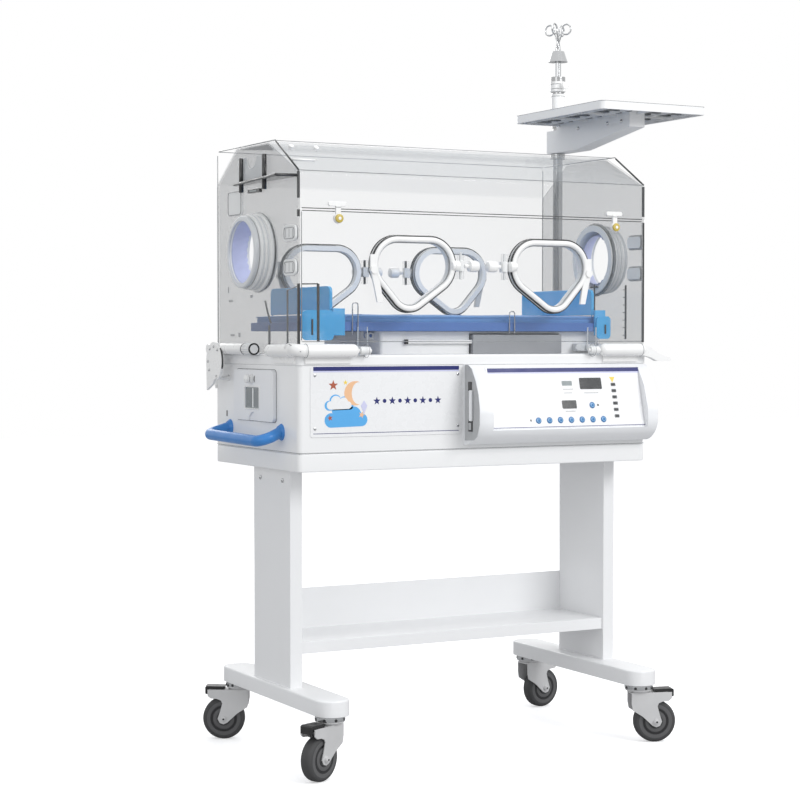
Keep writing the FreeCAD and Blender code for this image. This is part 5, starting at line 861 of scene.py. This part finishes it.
def dress_edges():
    """Polished edges of the acrylic, and the bars, rods and ticks on the door and end panels."""
    for way, side in SIDES:
        x = way * (HOOD_END - 1.6)
        spans = ((1265, 1324), (1225, 1240), (926, 1079)) if way < 0 else ((950, 1236), (1250, 1322))
        for index, span in enumerate(spans):
            front_edge(f"edge_front_{side}_{index}", x, DOOR_FACE + 6.5, span, "edge_dark", "hood", 6.0, 3.6)
        for name, path in (
                ("slope", [(x, -189.0, 1326), (x, -72.0, 1398)]),
                ("roof", [(x, -70.0, 1401.2), (x, 250.0, 1401.2)]),
                ("rear", [(x, 259.0, 1392), (x, 259.0, 940)])):
            look = "edge_dark" if name == "slope" else "edge_grey"
            wire(f"edge_{name}_{side}", path, 2.1 if name == "slope" else 1.1, look, "hood")
        wire(f"door_edge_{side}", [(way * (DOOR_HALF - 1.0), DOOR_FACE + 2.5, DOOR_LOW + 4),
                                   (way * (DOOR_HALF - 1.0), DOOR_FACE + 2.5, DOOR_TOP - 4)],
             1.0, "edge_grey", "door")
    for name, half, y, z, radius, look, body in (
            ("crease", 454, -190.5, 1325.5, 0.9, "edge_grey", "hood"),
            ("roof_front", 454, -57.0, 1401.2, 0.7, "edge_grey", "hood"),
            ("roof_rear", 454, 258.0, 1401.0, 0.8, "edge_grey", "hood"),
            ("band", 450, -192.0, 1243.5, 1.0, "edge_dark", "hood"),
            ("door_top", 449, DOOR_FACE + 3.0, DOOR_TOP - 1, 0.9, "edge_dark", "door"),
            ("door_low", 449, DOOR_FACE + 3.0, DOOR_LOW + 1, 0.9, "edge_grey", "door")):
        wire(f"edge_{name}", [(-half, y, z), (half, y, z)], radius, look, body)
    front_edge("door_bar_left", -408, DOOR_FACE + 8.5, (953, 1079), "edge_dark", "door", 6.0, 3.0)
    front_edge("door_bar_right", 408, DOOR_FACE + 8.5, (957, 1086), "edge_dark", "door", 4.2, 3.0)
    for index in range(7):
        slab(f"door_tick_{index}", (400, 406), (DOOR_FACE + 7.4, DOOR_FACE + 9.6),
             (966 + 18 * index, 967.6 + 18 * index), "edge_dark", "door", 0.3)
    wire("door_rail_left", [(-448, DOOR_FACE + 8.5, 1078), (-408, DOOR_FACE + 8.5, 1079)], 1.4,
         "edge_dark", "door")
    inner = HOOD_END - 9.5
    wire("end_rod_left", [(-inner, -114, 940), (-inner, -114, 1066)], 2.2, "edge_dark", "hood")
    wire("end_rail_left", [(-inner, -114, 1066), (-inner, -176, 1075)], 1.2, "edge_grey", "hood")
    slab("end_bar_left", (-inner - 2, -inner + 2), (-20, -14), (942, 989), "edge_dark", "hood")
    wire("end_lever_left", [(-inner, -25, 994), (-inner, -8, 1018), (-inner, 5, 1044)], 2.2,
         "edge_dark", "hood", 6.0)
    wire("end_rod_right", [(inner, 7, 947), (inner, 7, 1092)], 2.2, "edge_dark", "hood")
    for index, z in enumerate((957, 1086)):
        slab(f"end_tick_right_{index}", (inner - 3, inner + 1), (-10, 22), (z - 1.6, z + 1.6),
             "edge_dark", "hood", 0.5)


def dress_slope():
    """Two screws and a bar on the sloping window."""
    turn = Matrix(((1, 0, 0), (0, 0.851, -0.525), (0, 0.525, 0.851)))
    for index, place in enumerate(((-425, -80, 1379), (-364, -82, 1378))):
        lathe(f"slope_screw_{index}", [(6.5, -3), (6.5, 1.5), (5.0, 3.2), (1.0, 3.6)],
              Vector(place) + turn.col[2] * 9.0, turn, "white_plastic", "hood", 32)
    wire("slope_bar", [(-451, -146, 1352), (-395, -146, 1352)], 2.4, "white_plastic", "hood", 2.0)


# Castors

CASTORS = {"front_left": (-409.0, -244.0, 205.0), "front_right": (409.0, -244.0, -20.0),
           "rear_left": (-409.0, 244.0, 152.0), "rear_right": (409.0, 244.0, 8.0)}
CASTOR_TRAIL = 38.0
WHEEL_SIZE = 50.0
UP = Vector((0, 0, 1))
WHEEL_BANDS = (
    ("disc", [(17.0, 14.0), (25.2, 14.0), (25.2, 15.2), (24.0, 15.7), (17.0, 15.7)], "wheel_grey"),
    ("groove", square(26.4, 30.6, 12.4, 14.6), "dark"),
    ("shoulder", [(31.4, 14.0), (40.5, 14.0), (40.2, 15.3), (32.0, 15.3)], "wheel_grey"),
)


def facing(out):
    """A turn that takes local z to a level direction and local y to up."""
    return Matrix((UP.cross(out), UP, out)).transposed()


def dress_castors():
    for name, (x, y, angle) in CASTORS.items():
        turn = math.radians(angle)
        ahead = Vector((math.cos(turn), math.sin(turn), 0))
        across = Vector((-math.sin(turn), math.cos(turn), 0))
        stem = Vector((x, y, 0))
        axle = stem + ahead * CASTOR_TRAIL + UP * WHEEL_SIZE
        fork, wheel = f"fork_{name}", f"wheel_{name}"
        for way, side in ((-1, "a"), (1, "b")):
            turned = facing(across * way)
            for part, profile, look in WHEEL_BANDS:
                ring_band(f"wheel_{part}_{name}_{side}", profile, axle, turned, look, wheel, 64)
            lathe(f"axle_nut_{name}_{side}", [(5.6, 24.6), (5.6, 26.4), (4.8, 27.1), (0.6, 27.3)],
                  axle, turned, "zinc", fork, 6)
            lathe(f"axle_centre_{name}_{side}", [(2.3, 27.0), (2.3, 27.9), (0.3, 28.0)],
                  axle, turned, "dark", fork, 20)
        ring_band(f"cup_{name}", [(31.0, 127.0), (32.9, 127.4), (33.5, 131.5), (32.9, 137.0), (31.0, 137.4)],
                  stem, "z", "chrome", fork, 72)
        ring_band(f"cup_line_{name}", [(30.0, 125.4), (31.8, 125.6), (31.8, 126.6), (30.0, 126.6)],
                  stem, "z", "dark", fork, 72)
        for index in range(8):
            spread_out = 2 * math.pi * index / 8 + turn + 0.3
            out = Vector((math.cos(spread_out), math.sin(spread_out), 0))
            lathe(f"cup_hole_{name}_{index}", [(3.5, 32.8), (3.5, 33.8), (0.4, 33.9)],
                  stem + UP * 131.5, facing(out), "dark", fork, 16)


# Hood fittings

def dress_holder():
    """The breathing-tube holder on the left end panel, made of its separate parts."""
    face = -HOOD_END
    notch = []
    for step in range(17):
        angle = math.radians(-10 - 160 * step / 16)
        notch.append((54 + 32 * math.cos(angle), 1378.5 + 32 * math.sin(angle)))
    outline = [(-23, 1312), (101, 1312), (101, 1372.5)] + notch + [(-23, 1372.5)]
    panel = plate("holder_plate", outline, lambda a, b, out: spot(face - 0.5 - out, a, b), 3.0,
                  "holder_clear", "hood", 0.5)
    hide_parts("tubing_holder")
    for name, y in (("front", -25.0), ("rear", 103.0)):
        wire(f"holder_rod_{name}", [(face - 6.0, y, 1294.5), (face - 6.0, y, 1373)], 5.4,
             "edge_dark", "hood")
        wire(f"holder_glint_{name}", [(face - 6.0, y + 3.2, 1296), (face - 6.0, y + 3.2, 1372)], 3.0,
             "iris_grey", "hood")
    slab("holder_block", (face - 8, face - 0.3), (-1, 63), (1290, 1298), "edge_dark", "hood")
    slab("holder_lamp", (face - 9, face - 7), (12, 50), (1292, 1296), "display_grey", "hood", 0.6)
    shelf = [(face - 0.3, -188), (face - 50, -181), (face - 13, 132), (face - 0.3, 132)]
    plate("holder_shelf", shelf, lambda a, b, out: spot(a, b, 1311 + out), 6.8, "smoked", "hood", 0.8)
    wire("holder_shelf_edge", [(face - 1, -188, 1314.5), (face - 50, -181, 1314.5), (face - 13, 132, 1314.5)],
         2.4, "edge_dark", "hood", 3.0)


def dress_ends():
    """Hatch line, marks and grommet lines on the end panels, and a triangle of painted shade at the roof's
    left end.
    """
    bead("hatch_line", round_box((112, 186), (1246, 1299), 8),
         lambda a, b: spot(-HOOD_END - 3.4, a, b), 0.9, "edge_grey", "hood")
    marks = ((190, 194, 1066, 1080), (168, 190, 1044, 1049), (54, 66, 1052, 1059), (80, 96, 1090, 1094),
             (158, 180, 964, 969), (124, 134, 962, 972))
    for index, (y0, y1, z0, z1) in enumerate(marks):
        slab(f"end_mark_{index}", (-HOOD_END - 0.7, -HOOD_END + 0.3), (y0, y1), (z0, z1),
             "edge_grey", "hood", 0.3)
    for way, side in SIDES:
        for row, middle in (("upper", 1190.0), ("lower", 1115.0)):
            bead(f"grommet_line_{side}_{row}", round_box((-180, -128), (middle - 12, middle + 12), 8),
                 lambda a, b: spot(way * (HOOD_END + 5.4), a, b), 0.9, "edge_grey", "hood")
            for index in range(3):
                y = -172 + 18 * index
                slab(f"grommet_slit_{side}_{row}_{index}",
                     tuple(sorted((way * (HOOD_END + 4.6), way * (HOOD_END + 5.5)))),
                     (y - 0.7, y + 0.7), (middle - 9, middle + 9), "edge_grey", "hood", 0.2)
    # A grey triangle just inside the left end panel under the roof: painted shade standing for the refraction
    # in the roof's thick edge
    shade_outline = [(129, 1395.5), (-32, 1394.5), (-59, 1379)]
    plate("roof_painted_shade", shade_outline, lambda a, b, out: spot(-HOOD_END + 1.0 + out, a, b), 4.0, "edge_grey",
          "hood", 0.4)


def dress_hinge():
    """Left hinge arm: its ribbed knob, screws and dark edge."""
    centre_x, centre_z = -478.0, 935.0
    for index in range(16):
        angle = 2 * math.pi * index / 16
        x, z = centre_x + 13.0 * math.cos(angle), centre_z + 13.0 * math.sin(angle)
        wire(f"knob_rib_{index}", [(x, 5, z), (x, 45, z)], 1.2, "iris_grey", "hood", steps=6)
    for index, y in enumerate((2.6, 47.6)):
        ring_band(f"knob_end_{index}", square(10.0, 13.8, y - 1, y + 1), (centre_x, 0, centre_z), "y",
                  "edge_dark", "hood", 48)
    for index, (y, z) in enumerate(((222, 934), (199, 940), (177, 932), (233, 905), (226, 885))):
        lathe(f"fan_screw_{index}", [(3.2, -0.4), (3.2, 0.7), (2.2, 1.4), (0.4, 1.6)],
              (-494.2, y, z), LEFT_TURN, "chrome", "hood", 20)
    arc = []
    for step in range(9):
        angle = math.radians(200 - 62 * step / 8)
        arc.append((-491.0, 199 + 46.3 * math.cos(angle), 905 + 46.3 * math.sin(angle)))
    wire("fan_edge", arc, 2.0, "edge_dark", "hood")


def dress_corner():
    elbow = [(-473, -176, 936), (-473, -206, 934), (-440, -207, 932)]
    wire("corner_elbow", elbow, 13.4, "white_plastic", "stand", 15.0, steps=28)
    fold = [(-485.5, -199, 947), (-475, -205, 940), (-466, -220, 930)]
    wire("corner_fold", fold, 1.0, "edge_grey", "stand", 3.0)
    for side, places in (("left", (-449, -300)), ("right", (300, 436))):
        for index, x in enumerate(places):
            ring_band(f"cover_line_{side}_{index}", square(15.0, 15.7, x - 0.6, x + 0.6),
                      (0, -207, 932), "x", "edge_grey", "stand", 40)


def dress_latches():
    for way, side in SIDES:
        body = f"door_latch_{side}"
        place = (way * 366, -207.4, 1222)
        lathe(f"latch_amber_{side}", [(9.6, -2.5), (9.6, 0.4), (8.4, 1.6), (5.0, 2.0), (0.6, 2.1)],
              place, FRONT_TURN, "amber", body, 40)
        lathe(f"latch_centre_{side}", [(3.6, 1.9), (3.6, 2.6), (0.4, 2.9)],
              place, FRONT_TURN, "white_plastic", body, 24)
        slab(f"latch_line_{side}", (way * 366 - 6.6, way * 366 + 6.6), (-203.2, -202.0), (1246, 1247.4),
             "edge_grey", body, 0.3)


# Cabinet fittings

def dress_drawer():
    low, high = corners("water_drawer")
    face = low.x
    floor = face + 3.0

    def on_floor(y, z, out):
        return spot(floor - out, y, z)

    bottom = low.z + 28
    sticker("drawer_glass", round_box((-3.5, 73.5), (bottom + 0.5, bottom + 47.5), 3), on_floor,
            "display_grey", "drawer", -0.2, 0.8)
    sticker("drawer_glint", round_box((31.5, 36.5), (bottom + 2, bottom + 46), 1), on_floor,
            "white_plastic", "drawer", 0.3, 1.7)
    for index in range(12):
        y = 1.0 + 6.0 * index
        if 28 < y < 40:
            continue
        sticker(f"drawer_rib_{index}", round_box((y, y + 2.2), (bottom + 3, bottom + 45), 0.8), on_floor,
                "edge_grey", "drawer", 0.3, 1.5)
    bead("drawer_window_rim", round_box((-5.5, 75.5), (bottom - 1.5, bottom + 49.5), 4),
         lambda a, b: spot(face - 0.3, a, b), 1.4, "white_plastic", "drawer")
    bead("drawer_gap", round_box((low.y - 1.2, high.y + 1.2), (low.z - 1.2, high.z + 1.2), 11),
         lambda a, b: spot(-CABINET_END - 0.3, a, b), 0.8, "edge_grey", "stand")
    lathe("drawer_knob_tip", [(4.0, -1), (7.5, 0), (9.5, 3), (9.0, 7), (6.0, 9), (1.0, 9.6)],
          (face - 8.6, 36, high.z - 21), LEFT_TURN, "white_plastic", "knob", 32)
    sticker("drawer_arrow", [(18, high.z - 13), (24, high.z - 17), (25, high.z - 24), (19, high.z - 29),
                             (21, high.z - 21)],
            lambda y, z, out: spot(face - out, y, z), "edge_dark", "drawer", -0.2, 0.5)
    slab("side_slot", (-CABINET_END - 0.8, -CABINET_END + 0.4), (196, 201), (776, 790),
         "edge_dark", "stand", 0.3)


# Outline, in y and z, of the leaf of painted shade on the control housing's left side
CHEEK = ((-203, 899), (-217.7, 899), (-233.4, 890), (-251.3, 863), (-264, 832), (-269.5, 798.5),
         (-269.5, 765), (-259, 738), (-244, 729), (-203, 727))


def dress_cheek():
    """A leaf of painted shade on the control housing's left side, with its two sockets and the bar between.
    """
    def on_cheek(y, z, out):
        return spot(-45.0 - out, y, z)

    # A grey sheet of painted shade on the housing's side face
    sticker("cheek_painted_shade", CHEEK, on_cheek, "cheek_grey", "stand", -0.2, 0.5, 0.3)
    bead("cheek_rim", CHEEK, lambda y, z: on_cheek(y, z, 0.6), 0.7, "iris_grey", "stand")
    slab("cheek_socket_top", (-47.5, -45.0), (-234, -219), (840, 861), "edge_dark", "stand", 2.0)
    slab("cheek_socket_low", (-47.5, -45.0), (-238, -220), (748, 778), "edge_dark", "stand", 2.0)
    slab("cheek_socket_plug", (-49.0, -47.0), (-235, -224), (752, 768), "cheek_grey", "stand", 1.5)
    slab("cheek_bar", (-52.0, -46.0), (-240, -229), (772, 842), "housing", "stand", 2.6)
    slab("cheek_bar_line", (-52.5, -51.5), (-231, -229.8), (774, 840), "edge_grey", "stand", 0.4)


def dress_cabinet():
    """Shadow lines between the cabinet's pressed parts, and screws on the legs."""
    grow = 0.2
    outline = round_box((-CABINET_END - grow, CABINET_END + grow), (FRONT - grow, 266.0 + grow), 9)
    for name, z in (("deck", SHELL_TOP + 0.3), ("base", 708.0)):
        bead(f"seam_{name}", outline, lambda x, y: spot(x, y, z), 0.7, "edge_grey", "stand")
    for way in (-1, 1):
        for index, y in enumerate((-60, 60)):
            lathe(f"leg_screw_{way}_{index}", [(6.0, -0.4), (6.0, 1.2), (4.4, 2.6), (0.8, 3.0)],
                  (way * 436.2, y, 640),
                  LEFT_TURN if way < 0 else AXES["x"], "chrome", "stand", 6)


def dress_mast():
    at = (MAST_X, MAST_Y, 0)
    lathe("mast_sleeve_cover", [(15.3, 1524), (17.0, 1525), (17.0, 1590), (15.3, 1591)], at, "z",
          "white_plastic", "stand", 48)
    lathe("mast_collar_cover", [(17.5, 1596), (20.0, 1598), (20.0, 1622), (17.5, 1624), (15.0, 1624),
                                (15.0, 1596), (17.5, 1596)], at, "z", "white_plastic", "stand", 48)
    for index, z in enumerate((1531.0, 1585.0, 1604.0, 1616.0)):
        radius = 17.1 if z < 1595 else 20.1
        ring_band(f"mast_line_{index}", square(radius - 0.6, radius + 0.3, z - 0.8, z + 0.8), at, "z",
                  "edge_grey", "stand", 40)
    lathe("mast_knob", [(5.0, 0), (5.0, 6), (9.0, 7), (9.0, 17), (7.0, 19), (1.0, 19.5)],
          (MAST_X, MAST_Y - 19, 1610), FRONT_TURN, "white_plastic", "stand", 32)
    low, high = corners("equipment_tray")
    rim = [(x, y, high.z - 0.4) for x, y in ((low.x + 0.1, low.y + 0.1), (high.x - 0.1, low.y + 0.1),
                                             (high.x - 0.1, high.y - 0.1), (low.x + 0.1, high.y - 0.1))]
    wire("tray_rim_line", rim, 0.6, "edge_grey", "arm", 14.0, True)
    for name, x in (("a", (low.x + 9, MAST_X - 26)), ("b", (MAST_X + 26, high.x - 9))):
        for index in range(9):
            y = low.y + 22 + index * (high.y - low.y - 44) / 8
            slab(f"tray_rib_{name}_{index}", x, (y - 9, y + 9), (low.z + 5.6, low.z + 7.4),
                 "tray_dark", "arm", 0.6)
    for index, y in enumerate((-80, -20, 110)):
        lathe(f"arm_screw_{index}", [(4.6, -0.3), (4.6, 1.0), (3.0, 2.0), (0.5, 2.3)],
              (MAST_X - 22.5, y, 1490), LEFT_TURN, "chrome", "arm", 24)


def dress_back():
    """Vents, screws and the mains inlet of the service panel at the back."""
    low, high = corners("service_panel")
    face = high.y

    def on_back(x, z, out):
        return spot(x, face + out, z)

    middle = (low + high) / 2
    for index in range(9):
        z = middle.z - 36 + 9 * index
        sticker(f"vent_{index}", round_box((low.x + 20, middle.x - 14), (z, z + 4), 1.9), on_back,
                "edge_dark", "stand", -0.5, 0.3)
    sticker("inlet_frame", round_box((middle.x + 40, middle.x + 96), (middle.z - 20, middle.z + 20), 4),
            on_back, "dark", "stand", -0.5, 1.6)
    for index, (x, z) in enumerate(((58, 8), (78, 8), (68, -6))):
        sticker(f"inlet_pin_{index}", round_box((middle.x + x - 2, middle.x + x + 2),
                                                (middle.z + z - 5, middle.z + z + 5), 0.8),
                on_back, "steel", "stand", 1.0, 2.4)
    for index, (x, z) in enumerate(((low.x + 9, low.z + 9), (high.x - 9, low.z + 9),
                                    (low.x + 9, high.z - 9), (high.x - 9, high.z - 9))):
        lathe(f"back_screw_{index}", [(4.2, -0.4), (4.2, 0.9), (2.8, 1.9), (0.5, 2.1)], (x, face, z),
              AXES["y"], "chrome", "stand", 24)


# The photograph's viewpoint, solved from its straight edges
CAMERA_PLACE = (-2284.1, -4047.9, 961.4)
CAMERA_TURN = (math.pi / 2 - 0.032, 0.0, -0.494)
CAMERA_LENS = 87.98
CAMERA_SENSOR = 36.0


def set_camera():
    data = bpy.data.cameras.new("PhotoCamera")
    data.sensor_width = CAMERA_SENSOR
    data.lens = CAMERA_LENS
    camera = add_object("PhotoCamera", data)
    camera.location = spot(*CAMERA_PLACE)
    camera.rotation_euler = CAMERA_TURN
    bpy.context.scene.camera = camera


# Name, place and aim in metres, size and power of each lamp
LAMPS = (
    ("Key", (1.8, -4.6, 3.6), (0.0, 0.0, 0.9), (2.6, 2.2), 138),
    ("Fill", (-4.2, -2.4, 2.0), (0.0, 0.0, 0.8), (2.4, 2.4), 24),
    ("Top", (0.3, -0.4, 4.6), (0.0, 0.0, 1.0), (3.0, 2.4), 34),
    ("Back", (1.2, 4.2, 2.8), (0.0, 0.0, 0.9), (2.8, 2.2), 45),
)


def set_lamps():
    for name, place, aim, size, power in LAMPS:
        data = bpy.data.lights.new(name, "AREA")
        data.shape = "RECTANGLE"
        data.size, data.size_y = size
        data.energy = power
        lamp = add_object(name, data)
        lamp.location = place
        lamp.rotation_euler = (Vector(aim) - Vector(place)).to_track_quat("-Z", "Y").to_euler()


def mixed(tree, part, first, second):
    """A shader that goes from the first to the second as part goes from 0 to 1."""
    mix = add_node(tree, "MixShader")
    for index, source in enumerate((part, first, second)):
        tree.links.new(source, mix.inputs[index])
    return mix.outputs[0]


def set_world():
    """Surroundings that show as white and light the part a little less."""
    world = bpy.data.worlds.new("Studio")
    bpy.context.scene.world = world
    world.use_nodes = True
    tree = world.node_tree
    tree.nodes.clear()
    out = add_node(tree, "OutputWorld")
    seen = add_node(tree, "Background", [("Color", (1, 1, 1, 1))])
    lit = add_node(tree, "Background", [("Color", (0.97, 0.985, 1.0, 1)), ("Strength", 0.70)])
    path = add_node(tree, "LightPath")
    value = path.outputs["Is Camera Ray"]
    for ray in ("Is Transmission Ray", "Is Glossy Ray"):
        either = add_node(tree, "Math")
        either.operation = "MAXIMUM"
        tree.links.new(value, either.inputs[0])
        tree.links.new(path.outputs[ray], either.inputs[1])
        value = either.outputs[0]
    tree.links.new(mixed(tree, value, lit.outputs[0], seen.outputs[0]), out.inputs[0])


def lay_floor():
    """A pale floor that shows nearly white to the camera and throws less light back."""
    work = bmesh.new()
    bmesh.ops.create_grid(work, x_segments=1, y_segments=1, size=14.0)
    mesh = bpy.data.meshes.new("Floor")
    work.to_mesh(mesh)
    work.free()
    floor = add_object("Floor", mesh)
    tree, shader, place = start_material("floor")
    shader.inputs["Roughness"].default_value = 0.9
    shader.inputs["Specular IOR Level"].default_value = 0.1
    tint(tree, noise(tree, place, 3.0), (0.90, 0.90, 0.91), (0.93, 0.93, 0.94),
         shader.inputs["Base Color"])
    ray = add_node(tree, "LightPath")
    glow = add_node(tree, "Emission", [("Strength", 0.42)])
    bright = add_node(tree, "AddShader")
    dim = add_node(tree, "BsdfDiffuse", [("Color", (0.50, 0.50, 0.505, 1))])
    tree.links.new(shader.outputs[0], bright.inputs[0])
    tree.links.new(glow.outputs[0], bright.inputs[1])
    shown = mixed(tree, ray.outputs["Is Camera Ray"], dim.outputs[0], bright.outputs[0])
    tree.links.new(shown, tree.nodes["Material Output"].inputs[0])
    mesh.materials.append(M["floor"])


dress_cad()
dress_ports()
dress_panel()
dress_fascia()
make_mattress()
dress_bed()
dress_iris()
dress_edges()
dress_slope()
dress_castors()
dress_holder()
dress_ends()
dress_hinge()
dress_corner()
dress_latches()
dress_drawer()
dress_cheek()
dress_cabinet()
dress_mast()
dress_back()
set_camera()
set_world()
lay_floor()
set_lamps()

bpy.context.scene.view_settings.view_transform = "Standard"
